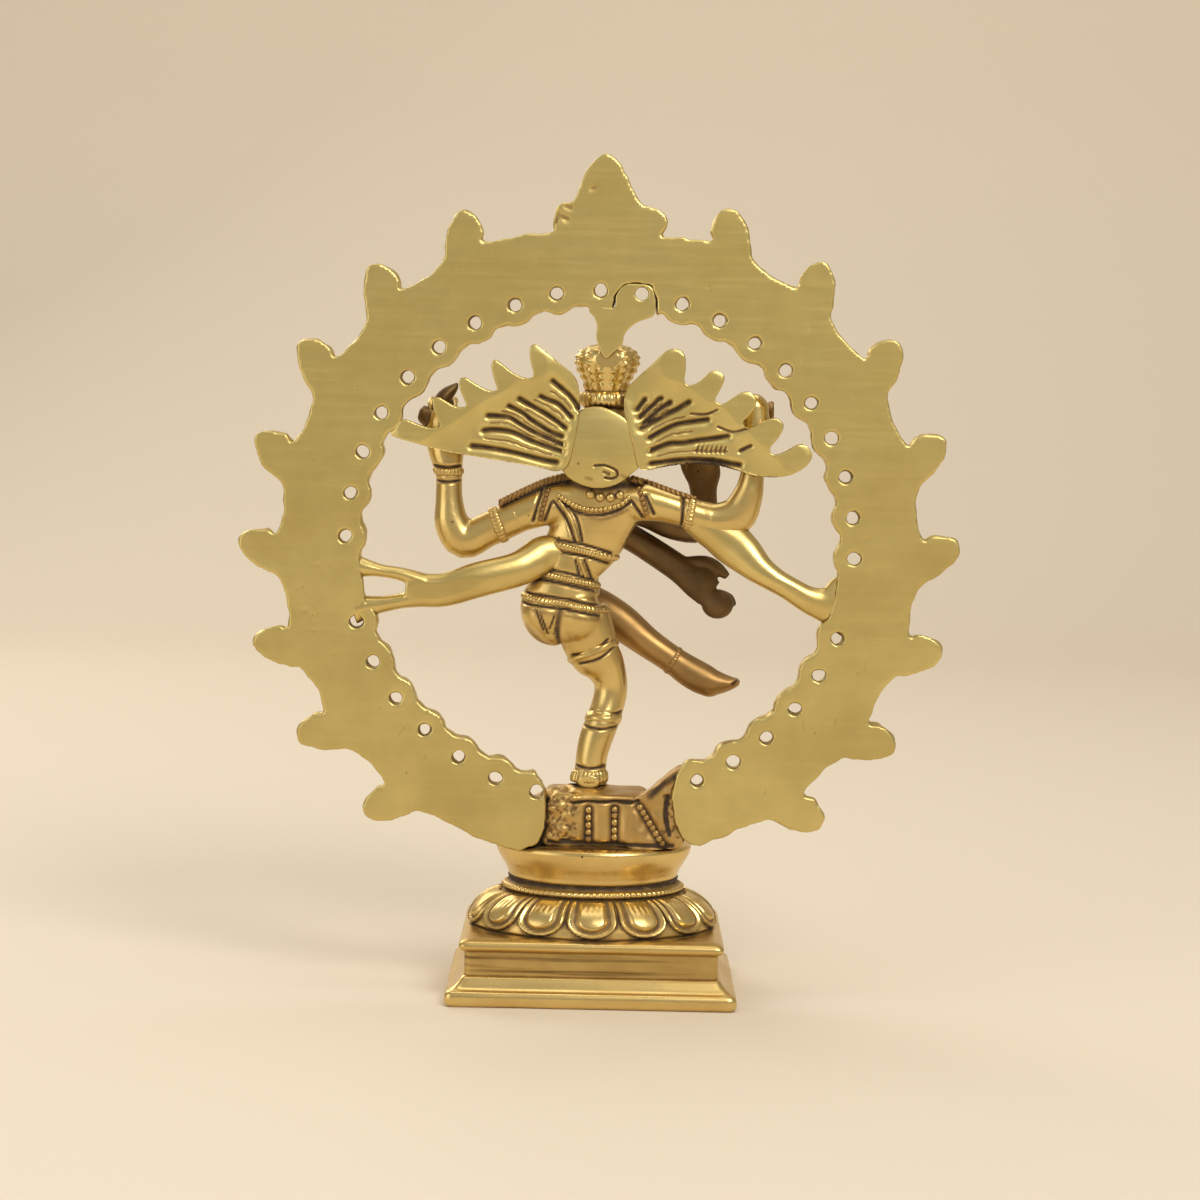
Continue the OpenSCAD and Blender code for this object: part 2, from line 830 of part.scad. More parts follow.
module raised_leg() {
    color("peru")
        difference() {
            limb(raised_st);
            behind(hip_d);
        }
}

module raised_anklet() {
    color("khaki")
        band(raised_st, 4, 0.2, 2.2);
}

// ---- arms ----

module drum_arm() {
    color("gold")
        difference() {
            limb(drum_arm_st);
            left_of(right_shoulder_x);
            intersection() {
                under(elbow_z);
                right_of(20);
            }
        }
}

module drum() {
    r = 3.4;
    translate([36.4 * fig_k, 10.9 * fig_k + r - ring_back, 91 * fig_k + fig_z])
        rotate([0, 90, 0])
            color("peru")
                rotate_extrude($fn = curve)
                    polygon([[0, -5], [r, -5], [r, -4.2], [1.6, 0], [r, 4.2], [r, 5], [0, 5]]);
}

module drum_armlet() {
    color("khaki")
        band(drum_arm_st, 1, 0.14, band_w);
}

// Filed flat behind, from the elbow down to the inner edge of the ring
module elbow_strut() {
    low = fig_z + 42.4 * fig_k;
    high = fig_z + 53.4 * fig_k;
    low_x = sqrt(pow(ring_inner_r + 1.5, 2) - pow(low - ring_z, 2));
    high_x = sqrt(pow(ring_inner_r + 1.5, 2) - pow(high - ring_z, 2));
    color("goldenrod")
        difference() {
            backplate(strut_t)
                polygon(concat(
                    outline([[24, elbow_z], [29.4, 55.4], [37.3, 51], [45.5, 47]]),
                    [[low_x, low], [high_x, high]],
                    outline([[51.4, 50.2], [45.4, 52.4], [39.2, 57], [36.2, elbow_z]])
                ));
            translate([0, 0, ring_z])
                backplate(strut_t * 3, -strut_t)
                    band_shape();
        }
}

module flame_arm() {
    color("gold")
        difference() {
            limb(flame_arm_st);
            right_of(left_shoulder_x);
            over(hand_z);
        }
}

module hand_flame() {
    color("goldenrod") {
        limb([[-38.4, 8.6, hand_z, 1.8, 2.4], [-38.4, 8.6, 89.4, 1.8, 2.4], [-36.4, 9, 93.6, 1.6, 2], [-35, 9, 96.4, 0.6, 0.8]]);
        limb([[-40.9, 8.6, hand_z, 0.7, 1.6], [-42.6, 8.8, 89, 1, 1.6], [-42.6, 9, 91, 0.5, 0.8]]);
    }
}

module flame_armlet() {
    color("khaki")
        band(flame_arm_st, 1, 0.5, band_w);
}

module flame_wristlet() {
    color("khaki")
        band(flame_arm_st, 4, 0.5, 2.6);
}

module blessing_arm() {
    color("peru")
        difference() {
            limb(blessing_st);
            behind(chest_d);
        }
}

module crossing_arm() {
    color("peru")
        difference() {
            limb(crossing_st);
            behind(chest_d);
        }
}

// ---- sash ----

// Flows from the waist to the ring, and ends in two prongs on the ring's inner edge
module flying_sash() {
    zt = fig_z + 52.8 * fig_k;
    zb = fig_z + 42 * fig_k;
    top_x = -sqrt(pow(ring_inner_r + 2, 2) - pow(zt - ring_z, 2));
    low_x = -sqrt(pow(ring_inner_r + 2, 2) - pow(zb - ring_z, 2));
    slot_x = mix(top_x, -46.4 * fig_k, 0.16);
    color("goldenrod") {
        difference() {
            backplate(sash_t)
                difference() {
                    polygon(concat(
                        outline([[sash_x, 61], [-19, 57.2], [-29.4, 54.6], [-37, 51.8], [-44.6, 52]]),
                        [[mix(top_x, -44.6 * fig_k, 0.2), zt - 0.4], [top_x, zt + 1.6], [low_x, zb - 1.6],
                         [mix(low_x, -42.6 * fig_k, 0.2), zb]],
                        outline([[-42.6, 43.8], [-33.2, 46], [-23.4, 48.2], [sash_x, waist_z]])
                    ));
                    polygon(concat(
                        outline([[-46.4, 47.4], [-46.4, 49.6]]),
                        [[slot_x, fig_z + 49.8 * fig_k], [slot_x, fig_z + 46.6 * fig_k]]
                    ));
                }
            translate([0, 0, ring_z])
                backplate(ring_t * 3, -ring_t)
                    band_shape();
        }
        backplate(sash_root_t - sash_t, sash_t)
            polygon(outline([[sash_x, 60], [-16, 58.6], [-18, 50], [sash_x, 52]]));
    }
}

base_slab();
plinth_die();
plinth_cap();
lotus_dome();
lotus_petals();
ticked_collar();
cushion();
dwarf_body();
ring_foot();
dwarf_head();
dwarf_legs();
dwarf_arms();
dwarf_straps();
flame_ring();
crown_lug();
crown();
crown_band();
head();
nape_disc();
hair_fan_left();
hair_fan_right();
hair_locks();
earrings();
torso();
necklace();
shoulder_straps();
sacred_thread();
chest_belt();
waist_belt();
hip_belt();
hips();
standing_leg();
thigh_hem();
knee_band();
standing_anklet();
standing_foot();
raised_leg();
raised_anklet();
drum_arm();
drum();
drum_armlet();
elbow_strut();
flame_arm();
hand_flame();
flame_armlet();
flame_wristlet();
blessing_arm();
crossing_arm();
flying_sash();
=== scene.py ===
import math
import random

import bmesh
import bpy
import numpy as np
from mathutils import Matrix, Vector, noise
from mathutils.bvhtree import BVHTree


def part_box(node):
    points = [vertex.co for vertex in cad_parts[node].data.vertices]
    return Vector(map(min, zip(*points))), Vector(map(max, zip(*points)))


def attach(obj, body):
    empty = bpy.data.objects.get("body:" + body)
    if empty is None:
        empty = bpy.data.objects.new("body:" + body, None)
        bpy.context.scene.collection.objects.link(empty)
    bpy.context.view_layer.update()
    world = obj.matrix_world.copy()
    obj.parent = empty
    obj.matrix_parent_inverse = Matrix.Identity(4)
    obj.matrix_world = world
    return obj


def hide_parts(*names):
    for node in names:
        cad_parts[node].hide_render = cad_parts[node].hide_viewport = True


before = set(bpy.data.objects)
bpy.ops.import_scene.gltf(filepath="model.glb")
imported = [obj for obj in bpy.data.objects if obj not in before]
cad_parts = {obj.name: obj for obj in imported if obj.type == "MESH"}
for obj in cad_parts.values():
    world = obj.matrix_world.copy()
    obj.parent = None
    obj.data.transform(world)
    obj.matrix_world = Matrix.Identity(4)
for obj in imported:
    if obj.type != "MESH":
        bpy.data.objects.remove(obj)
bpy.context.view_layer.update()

mm = 0.001
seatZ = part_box("cushion")[1].z
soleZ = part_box("standing_foot")[0].z
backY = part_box("flame_ring")[0].y
figureScale = (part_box("crown")[1].z - soleZ) / 107
finished = []


# ---- places and curves ----

def figurePlace(x, d, z):  # x, depth in front of the filed back, height over the sole
    return Vector((x * figureScale, backY + d * figureScale, soleZ + z * figureScale))


def backPlace(x, z, d=0.0):  # a point of the filed back plane, millimetres from the base
    return Vector((x * mm, backY + d * mm, z * mm))


def glide(points, steps=4, closed=False):  # a smooth curve through rows of numbers
    rows = [np.array(p, dtype=float) for p in points]
    count = len(rows)
    spans = count if closed else count - 1
    out = []
    for i in range(spans):
        a = rows[(i - 1) % count] if closed or i else rows[0]
        b = rows[i]
        c = rows[(i + 1) % count]
        d = rows[(i + 2) % count] if closed or i + 2 < count else rows[-1]
        for k in range(steps):
            t = k / steps
            out.append(0.5 * (2 * b + (c - a) * t + (2 * a - 5 * b + 4 * c - d) * t * t
                              + (3 * b - a - 3 * c + d) * t ** 3))
    if not closed:
        out.append(rows[-1])
    return out


# ---- mesh helpers ----

def ringEdges(verts):
    ring = set(verts)
    return [e for e in {e for v in verts for e in v.link_edges} if e.verts[0] in ring and e.verts[1] in ring]


def addRing(bm, centre, along, across, halfWide, halfDeep, sides):
    ring = bmesh.ops.create_circle(bm, segments=sides, radius=1)["verts"]
    deep = along.cross(across)
    turn = Matrix((across * halfWide, deep * halfDeep, along)).transposed().to_4x4()
    turn.translation = centre
    bmesh.ops.transform(bm, matrix=turn, verts=ring)
    return ringEdges(ring)


def addTube(bm, centres, halves, sides=18, ref=Vector((0, 1, 0))):
    rings = []
    for i, centre in enumerate(centres):
        along = (centres[min(i + 1, len(centres) - 1)] - centres[max(i - 1, 0)]).normalized()
        across = along.cross(ref).normalized()
        rings.append(addRing(bm, centre, along, across, halves[i][0], halves[i][1], sides))
    for a, b in zip(rings, rings[1:]):
        bmesh.ops.bridge_loops(bm, edges=a + b)
    bmesh.ops.contextual_create(bm, geom=rings[0])
    bmesh.ops.contextual_create(bm, geom=rings[-1])


def addLimb(bm, stations, steps=4, sides=20, ref=Vector((0, 1, 0)), grow=0.0):
    rows = glide(stations, steps)
    centres = [figurePlace(*r[:3]) for r in rows]
    halves = [(max(r[3] + grow, 0.1) * figureScale, max(r[4] + grow, 0.1) * figureScale) for r in rows]
    addTube(bm, centres, halves, sides, ref)


def addCord(bm, points, radius, sides=8, steps=4):  # points are world places
    centres = [Vector(p) for p in glide([tuple(p) for p in points], steps)]
    addTube(bm, centres, [(radius, radius)] * len(centres), sides)


def addBall(bm, centre, radii, segments=24):
    ball = bmesh.ops.create_uvsphere(bm, u_segments=segments, v_segments=segments // 2, radius=1)["verts"]
    bmesh.ops.scale(bm, vec=Vector(radii), verts=ball)
    bmesh.ops.translate(bm, vec=centre, verts=ball)
    return ball


def addPlate(bm, outline, back, thick, holes=()):  # a flat pierced plate, its back at depth back
    verts = [bm.verts.new(backPlace(x, z, back)) for x, z in outline]
    edges = [bm.edges.new((a, b)) for a, b in zip(verts, verts[1:] + verts[:1])]
    for x, z, r in holes:
        spin = Matrix.Translation(backPlace(x, z, back)) @ Matrix.Rotation(math.pi / 2, 4, "X")
        hole = bmesh.ops.create_circle(bm, segments=28, radius=r * mm, matrix=spin)["verts"]
        edges += ringEdges(hole)
    filled = bmesh.ops.triangle_fill(bm, edges=edges, use_beauty=True, use_dissolve=False)["geom"]
    faces = [g for g in filled if isinstance(g, bmesh.types.BMFace)]
    raised = bmesh.ops.extrude_face_region(bm, geom=faces)["geom"]
    front = [g for g in raised if isinstance(g, bmesh.types.BMVert)]
    bmesh.ops.translate(bm, vec=Vector((0, thick * mm, 0)), verts=front)


def meshObject(name, bm):
    bmesh.ops.recalc_face_normals(bm, faces=bm.faces)
    mesh = bpy.data.meshes.new(name)
    bm.to_mesh(mesh)
    bm.free()
    piece = bpy.data.objects.new(name, mesh)
    bpy.context.scene.collection.objects.link(piece)
    return piece


def settle(piece):  # applies the modifiers
    shaped = bpy.data.meshes.new_from_object(piece.evaluated_get(bpy.context.evaluated_depsgraph_get()))
    piece.modifiers.clear()
    piece.data = shaped
    shaped.name = piece.name


def castPiece(name, bm, grain, rounds=3):  # fuses closed shells into one skin, as a casting is
    piece = meshObject(name, bm)
    remesh = piece.modifiers.new("cast", "REMESH")
    remesh.mode = "VOXEL"
    remesh.voxel_size = grain * mm
    soften = piece.modifiers.new("soften", "SMOOTH")
    soften.factor = 0.5
    soften.iterations = rounds
    settle(piece)
    return piece


def places(piece):
    co = np.empty(len(piece.data.vertices) * 3)
    piece.data.vertices.foreach_get("co", co)
    return co.reshape(-1, 3)


def slopes(piece):
    no = np.empty(len(piece.data.vertices) * 3)
    piece.data.vertex_normals.foreach_get("vector", no)
    return no.reshape(-1, 3)


def putPlaces(piece, co):
    piece.data.vertices.foreach_set("co", co.ravel())
    piece.data.update()


def fileFlat(piece):  # nothing stands behind the filed back plane
    co = places(piece)
    co[:, 1] = np.maximum(co[:, 1], backY)
    putPlaces(piece, co)


def strokeField(co, strokes):
    # each stroke is (points of x and z in millimetres, half width, depth); returns how deep each point is cut
    cut = np.zeros(len(co))
    mark = np.zeros(len(co))
    flat = co[:, [0, 2]] / mm
    for points, wide, deep in strokes:
        path = np.array(glide(points, 4))
        low = path.min(0) - 3 * wide
        high = path.max(0) + 3 * wide
        near = np.where(np.all((flat > low) & (flat < high), axis=1))[0]
        if not len(near):
            continue
        best = np.full(len(near), 1e9)
        for a, b in zip(path[:-1], path[1:]):
            leg = b - a
            t = np.clip(((flat[near] - a) @ leg) / max(leg @ leg, 1e-9), 0, 1)
            best = np.minimum(best, np.linalg.norm(flat[near] - a - t[:, None] * leg, axis=1))
        cut[near] = np.maximum(cut[near], deep * np.exp(-(best / wide) ** 2))
        strength = min(1.0, 0.35 + deep)
        mark[near] = np.maximum(mark[near], strength * np.exp(-(best / (0.72 * wide + 0.08)) ** 2))
    return cut, mark


def engrave(piece, strokes, facing=-1, stainAndShade=1.0):  # cuts strokes into the side that faces that way along Y
    co = places(piece)
    no = slopes(piece)
    seen = np.clip(no[:, 1] * facing * 2.2, 0, 1)
    cut, mark = strokeField(co, strokes)
    cut, mark = cut * seen, mark * seen * stainAndShade
    putPlaces(piece, co - no * cut[:, None] * mm)
    # the marks darken each stroke's line: dark in cut grooves, scratches and pits, and painted shade in the body's
    # shade bands
    inkAndShade = piece.data.attributes.get("inkAndShade") or piece.data.attributes.new("inkAndShade", "FLOAT", "POINT")
    old = np.zeros(len(co))
    inkAndShade.data.foreach_get("value", old)
    inkAndShade.data.foreach_set("value", np.maximum(old, mark))


def roughen(piece, amount, scale, seed=0.0, keep=None):  # the small unevenness of a hand-worked casting
    co = places(piece)
    no = slopes(piece)
    shift = np.array([noise.noise(Vector(p) * scale + Vector((seed, 0, 0))) for p in co])
    if keep is not None:
        shift = shift * keep(co)
    putPlaces(piece, co + no * (shift * amount * mm)[:, None])


# ---- brass ----

brassTones = {
    "dwarfBrass": dict(tone=(0.62, 0.42, 0.15), shade=(0.34, 0.20, 0.07), rough=0.32, scratch=0.2, patinaAndShade=1.35),
    "filedBrass": dict(tone=(0.69, 0.555, 0.215), shade=(0.47, 0.355, 0.115), rough=0.33, scratch=0.36, patinaAndShade=0.85,
                       streak=0.0),
    "barBrass": dict(tone=(0.72, 0.56, 0.215), shade=(0.52, 0.375, 0.125), rough=0.27, scratch=0.2, patinaAndShade=1.0),
    "figureBrass": dict(tone=(0.74, 0.56, 0.22), shade=(0.53, 0.36, 0.12), rough=0.25, scratch=0.16, patinaAndShade=1.0),
    # dark brown brass; on the raised leg and its anklet it is painted shade, as they stand in shade in front of the
    # body
    "agedAndShadedBrass": dict(tone=(0.44, 0.27, 0.10), shade=(0.15, 0.085, 0.035), rough=0.40, scratch=0.2, patinaAndShade=1.3),
    # painted shade: the blessing and crossing arms, in front of the body, are coloured as dark as the shade they stand
    # in; the hand flame uses it too
    "darkBrass": dict(tone=(0.23, 0.145, 0.062), shade=(0.07, 0.045, 0.024), rough=0.44, scratch=0.25, patinaAndShade=1.3),
    "plinthBrass": dict(tone=(0.78, 0.58, 0.23), shade=(0.58, 0.39, 0.13), rough=0.22, scratch=0.22, patinaAndShade=1.0),
    "blockBrass": dict(tone=(0.64, 0.46, 0.165), shade=(0.40, 0.25, 0.085), rough=0.34, scratch=0.6, patinaAndShade=1.2,
                       streak=0.85),
}


def brassMaterial(name, tone, shade, rough, scratch, patinaAndShade, streak=0.04):
    mat = bpy.data.materials.new(name)
    mat.use_nodes = True
    tree = mat.node_tree
    tree.nodes.clear()

    def add(kind, **settings):
        node = tree.nodes.new(kind)
        for key, value in settings.items():
            setattr(node, key, value)
        return node

    def wire(a, b):
        tree.links.new(a, b)

    def ramp(source, low, high, colours=((0, 0, 0), (1, 1, 1))):
        node = add("ShaderNodeValToRGB")
        node.color_ramp.elements[0].position = low
        node.color_ramp.elements[1].position = high
        node.color_ramp.elements[0].color = (*colours[0], 1)
        node.color_ramp.elements[1].color = (*colours[1], 1)
        wire(source, node.inputs["Fac"])
        return node.outputs["Color"]

    def mathNode(kind, a, b):
        node = add("ShaderNodeMath", operation=kind, use_clamp=kind == "ADD")
        for slot, value in zip(node.inputs, (a, b)):
            if isinstance(value, (int, float)):
                slot.default_value = value
            else:
                wire(value, slot)
        return node.outputs[0]

    def mixColour(fac, a, b, mode="MIX"):
        node = add("ShaderNodeMix", data_type="RGBA", blend_type=mode)
        for slot, value in ((node.inputs["Factor"], fac), (node.inputs["A"], a), (node.inputs["B"], b)):
            if isinstance(value, tuple):
                slot.default_value = (*value, 1)
            elif isinstance(value, float):
                slot.default_value = value
            else:
                wire(value, slot)
        return node.outputs["Result"]

    coords = add("ShaderNodeTexCoord").outputs["Object"]

    def pattern(scale, stretch=(1, 1, 1), turn=(0, 0, 0), detail=4.0):
        mapping = add("ShaderNodeMapping")
        mapping.inputs["Scale"].default_value = stretch
        mapping.inputs["Rotation"].default_value = turn
        wire(coords, mapping.inputs["Vector"])
        texture = add("ShaderNodeTexNoise")
        texture.inputs["Scale"].default_value = scale
        texture.inputs["Detail"].default_value = detail
        wire(mapping.outputs["Vector"], texture.inputs["Vector"])
        return texture.outputs["Fac"]

    clouds = ramp(pattern(55), 0.35, 0.68)
    blotches = ramp(pattern(190), 0.4, 0.72)
    grain = pattern(2600)
    acrossMarks = pattern(900, (0.05, 0.05, 1), (0, 0.12, 0), 3)
    slantMarks = pattern(700, (0.06, 1, 1), (0, -0.75, 0), 3)
    pits = add("ShaderNodeTexVoronoi")
    pits.inputs["Scale"].default_value = 300
    wire(coords, pits.inputs["Vector"])
    pitShape = ramp(pits.outputs["Distance"], 0.05, 0.13)
    pitPlaces = ramp(pattern(120), 0.62, 0.66)
    pitDepth = mathNode("MULTIPLY", mathNode("SUBTRACT", 1.0, pitShape), pitPlaces)

    # the attribute read here is patina in the hollows and painted shade under and between parts; the two ramps below
    # carry it into colour
    patinaAndShadeLevel = add("ShaderNodeAttribute", attribute_name="patinaAndShade").outputs["Fac"]
    uneven = mathNode("MULTIPLY", patinaAndShadeLevel, mathNode("ADD", mathNode("MULTIPLY", pattern(420), 0.9), 0.45))
    dark = ramp(mathNode("MULTIPLY", uneven, patinaAndShade), 0.16, 0.62)
    stainAndShade = ramp(mathNode("MULTIPLY", uneven, patinaAndShade), 0.04, 0.34)

    base = mixColour(mathNode("MULTIPLY", clouds, 0.62), tone, shade)
    base = mixColour(mathNode("MULTIPLY", blotches, 0.22), base, shade)
    lift = tuple(min(1.0, c * 1.18) for c in tone)
    base = mixColour(mathNode("MULTIPLY", ramp(acrossMarks, 0.5, 0.72), 0.35 * scratch), base, lift)
    fileLines = ramp(pattern(420, (0.035, 0.035, 1), (0, 0.01, 0), 5), 0.53, 0.64)
    base = mixColour(mathNode("MULTIPLY", fileLines, streak), base, (0.17, 0.09, 0.03))
    # brown stain and near-black from that attribute: patina and painted shade
    base = mixColour(mathNode("MULTIPLY", stainAndShade, 0.6), base, (0.36, 0.19, 0.06))
    base = mixColour(dark, base, (0.050, 0.028, 0.013))
    base = mixColour(pitDepth, base, (0.05, 0.028, 0.012))

    shader = add("ShaderNodeBsdfPrincipled")
    wire(base, shader.inputs["Base Color"])
    wire(mathNode("SUBTRACT", 1.0, mathNode("MULTIPLY", dark, 0.75)), shader.inputs["Metallic"])
    gloss = mathNode("ADD", mathNode("MULTIPLY", clouds, 0.10), rough)
    gloss = mathNode("ADD", gloss, mathNode("MULTIPLY", ramp(slantMarks, 0.45, 0.75), 0.16 * scratch))
    gloss = mathNode("ADD", gloss, mathNode("MULTIPLY", stainAndShade, 0.30))
    wire(gloss, shader.inputs["Roughness"])

    height = mathNode("MULTIPLY", acrossMarks, 0.5 * scratch)
    height = mathNode("ADD", height, mathNode("MULTIPLY", slantMarks, 0.4 * scratch))
    height = mathNode("ADD", height, mathNode("MULTIPLY", grain, 0.10))
    height = mathNode("SUBTRACT", height, mathNode("MULTIPLY", pitDepth, 0.5))
    bump = add("ShaderNodeBump")
    bump.inputs["Strength"].default_value = 0.35
    bump.inputs["Distance"].default_value = 0.00022
    wire(height, bump.inputs["Height"])
    wire(bump.outputs["Normal"], shader.inputs["Normal"])
    wire(shader.outputs["BSDF"], add("ShaderNodeOutputMaterial").inputs["Surface"])
    return mat


brass = {name: brassMaterial(name, **tones) for name, tones in brassTones.items()}


def keepPiece(piece, finish, *nodes):
    piece.data.materials.clear()
    piece.data.materials.append(brass[finish])
    piece.data.shade_smooth()
    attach(piece, "root")
    if nodes:
        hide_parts(*nodes)
    finished.append(piece)
    return piece


# ---- plinth ----

plinthSizes = dict(corner=1.6, cornerSteps=5)


def boxBelow(node):
    low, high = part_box(node)
    return (high.x - low.x) / 2, (high.y - low.y) / 2, low.z, high.z


def steppedSlab(name, finish, levels, nodes, hollow=None, waver=0.12):
    # levels are half width, half depth and height; each one is drawn out of the one below
    bm = bmesh.new()
    face = bmesh.ops.create_grid(bm, x_segments=1, y_segments=1, size=1)
    halfWide, halfDeep, z = levels[0]
    bmesh.ops.transform(bm, matrix=Matrix.Diagonal((halfWide, halfDeep, 1, 1)), verts=bm.verts)
    bmesh.ops.bevel(bm, geom=list(bm.verts), offset=plinthSizes["corner"] * mm, affect="VERTICES",
                    segments=plinthSizes["cornerSteps"], profile=0.5, material=-1)
    bmesh.ops.translate(bm, vec=Vector((0, 0, z)), verts=bm.verts)
    top = list(bm.faces)
    wide, deep = halfWide, halfDeep
    for halfWide, halfDeep, z in levels[1:]:
        out = bmesh.ops.extrude_face_region(bm, geom=top)["geom"]
        verts = [g for g in out if isinstance(g, bmesh.types.BMVert)]
        top = [g for g in out if isinstance(g, bmesh.types.BMFace)]
        for v in verts:
            v.co.x *= halfWide / wide
            v.co.y *= halfDeep / deep
            v.co.z = z
        wide, deep = halfWide, halfDeep
    if hollow:
        bmesh.ops.recalc_face_normals(bm, faces=bm.faces)
        under = [f for f in bm.faces if f.normal.z < -0.99]
        inset = bmesh.ops.inset_region(bm, faces=under, thickness=hollow[0])
        out = bmesh.ops.extrude_face_region(bm, geom=under)["geom"]
        verts = [g for g in out if isinstance(g, bmesh.types.BMVert)]
        for v in verts:
            v.co.z = hollow[1]
        bmesh.ops.delete(bm, geom=[f for f in under if f.is_valid], context="FACES_ONLY")
    piece = meshObject(name, bm)
    remesh = piece.modifiers.new("cast", "REMESH")
    remesh.mode = "VOXEL"
    remesh.voxel_size = 0.5 * mm
    soften = piece.modifiers.new("soften", "SMOOTH")
    soften.factor = 0.5
    soften.iterations = 2
    settle(piece)
    roughen(piece, waver, 60, 3.0)
    return keepPiece(piece, finish, *nodes)


baseW, baseD, baseLow, baseHigh = boxBelow("base_slab")
dieW, dieD, dieLow, dieHigh = boxBelow("plinth_die")
capW, capD, capLow, capHigh = boxBelow("plinth_cap")
steppedSlab("baseSlab", "plinthBrass", [
    (baseW - 0.9 * mm, baseD - 0.9 * mm, 0), (baseW, baseD, 0.7 * mm), (baseW, baseD, baseHigh - 1.2 * mm),
    (baseW - 0.5 * mm, baseD - 0.5 * mm, baseHigh - 0.3 * mm), (baseW - 1.5 * mm, baseD - 1.5 * mm, baseHigh),
    (dieW + 1.4 * mm, dieD + 1.4 * mm, baseHigh + 1.5 * mm), (dieW + 0.4 * mm, dieD + 0.4 * mm, baseHigh + 3 * mm),
], ["base_slab"])
steppedSlab("plinthBlock", "blockBrass", [
    (dieW, dieD, dieLow + 0.6 * mm), (dieW, dieD, dieHigh + 0.3 * mm),
], ["plinth_die"], waver=0.22)
steppedSlab("upperSlab", "plinthBrass", [
    (capW - 1.3 * mm, capD - 1.3 * mm, capLow - 0.2 * mm), (capW - 0.2 * mm, capD - 0.2 * mm, capLow + 0.5 * mm),
    (capW, capD, capLow + 1.3 * mm), (capW - 0.6 * mm, capD - 0.6 * mm, capHigh - 0.7 * mm),
    (capW - 2.2 * mm, capD - 2.2 * mm, capHigh),
], ["plinth_cap"])
print("plinth done")


# ---- lotus, collar and cushion ----

lotusSizes = dict(petals=14, relief=1.1, rimAt=0.87, grooveAt=0.60, roundBelow=0.42)


def turnedOval(name, finish, nodes, profile, around=256, relief=None, inkAndShade=None):
    # profile rows are half width, half depth, height; the ends close on the axis
    rows = glide(profile, 5)
    bm = bmesh.new()
    stainAndShade = bm.verts.layers.float.new("inkAndShade")
    bmesh.ops.create_grid(bm, x_segments=around, y_segments=len(rows) - 1, size=1)
    for v in bm.verts:
        a = (v.co.x + 1) * math.pi
        k = round((v.co.y + 1) / 2 * (len(rows) - 1))
        w, d, z = rows[k]
        v[stainAndShade] = inkAndShade(a, z) if inkAndShade else 0
        out = relief(a, k / (len(rows) - 1), z) if relief else 0
        v.co = Vector(((w + out) * math.cos(a), (d + out) * math.sin(a), z))
    bmesh.ops.remove_doubles(bm, verts=bm.verts, dist=1e-6)
    bmesh.ops.holes_fill(bm, edges=[e for e in bm.edges if e.is_boundary])
    return keepPiece(meshObject(name, bm), finish, *nodes)


rimW, rimD, lotusLow, lotusHigh = boxBelow("lotus_dome")
collarW, collarD, collarLow, collarHigh = boxBelow("ticked_collar")
cushW, cushD, cushLow, cushHigh = boxBelow("cushion")


def lotusPoint(a, t, out):
    bend = 1 - math.cos(math.pi / 2 * t)
    w = rimW - (rimW - collarW) * bend + out
    d = rimD - (rimD - collarD) * bend + out
    rise = 0.4 * t + 0.6 * math.sin(math.pi / 2 * t)
    return Vector((w * math.cos(a), d * math.sin(a), lotusLow + (lotusHigh - lotusLow) * rise))


bm = bmesh.new()
bmesh.ops.create_grid(bm, x_segments=168, y_segments=16, size=1)
for v in bm.verts:
    v.co = lotusPoint((v.co.x + 1) * math.pi, (v.co.y + 1) / 2, -0.15 * mm)
bmesh.ops.remove_doubles(bm, verts=bm.verts, dist=1e-6)
bmesh.ops.holes_fill(bm, edges=[e for e in bm.edges if e.is_boundary])
keepPiece(meshObject("lotusDome", bm), "plinthBrass", "lotus_dome")


def petalRelief(u, t):  # rim, groove and tongue of a petal whose round end hangs down
    s = lotusSizes
    drop = max(0.0, (s["roundBelow"] - t) / (s["roundBelow"] - 0.03))
    reach = math.hypot(u, drop)
    rim = math.exp(-((reach - s["rimAt"]) / 0.085) ** 2)
    tongue = 1 / (1 + math.exp((reach - s["grooveAt"] + 0.07) * 38))
    tick = sum(math.exp(-((u - x) / 0.035) ** 2 - ((t - 0.7) / 0.09) ** 2) for x in (-0.24, 0, 0.24))
    edge = max(0.0, min(1.0, (1.0 - reach) / 0.08))
    return (0.12 + 0.88 * rim + tongue * (0.82 + 0.25 * (1 - reach)) - 0.3 * tick) * edge - 0.25 * (1 - edge)


bm = bmesh.new()
petalLowDark = bm.verts.layers.float.new("inkAndShade")
petalStep = 2 * math.pi / lotusSizes["petals"]
for i in range(lotusSizes["petals"]):
    petal = bmesh.ops.create_grid(bm, x_segments=34, y_segments=26, size=1)["verts"]
    for v in petal:
        u, t = v.co.x, 0.02 + 0.95 * (v.co.y + 1) / 2
        height = petalRelief(u, t)
        # darker where the petal's relief is low: in its groove and in the gaps between petals
        v[petalLowDark] = 0.8 * max(0.0, min(1.0, (0.42 - height) / 0.4))
        v.co = lotusPoint(math.pi / 2 + petalStep * (i + 0.5 * u * 0.985), t, height * lotusSizes["relief"] * mm)
bmesh.ops.recalc_face_normals(bm, faces=bm.faces)
bmesh.ops.solidify(bm, geom=list(bm.faces), thickness=0.5 * mm)
keepPiece(meshObject("lotusPetals", bm), "plinthBrass", "lotus_petals")


def collarRelief(a, t, z):
    h = (z - collarLow) / (collarHigh - collarLow)
    ticks = 0.16 * math.cos(a * 92) * math.exp(-((h - 0.3) / 0.2) ** 2)
    chisel = 0.10 * math.cos(a * 31 + 1) * math.exp(-((h - 0.8) / 0.15) ** 2)
    return (ticks + chisel) * mm


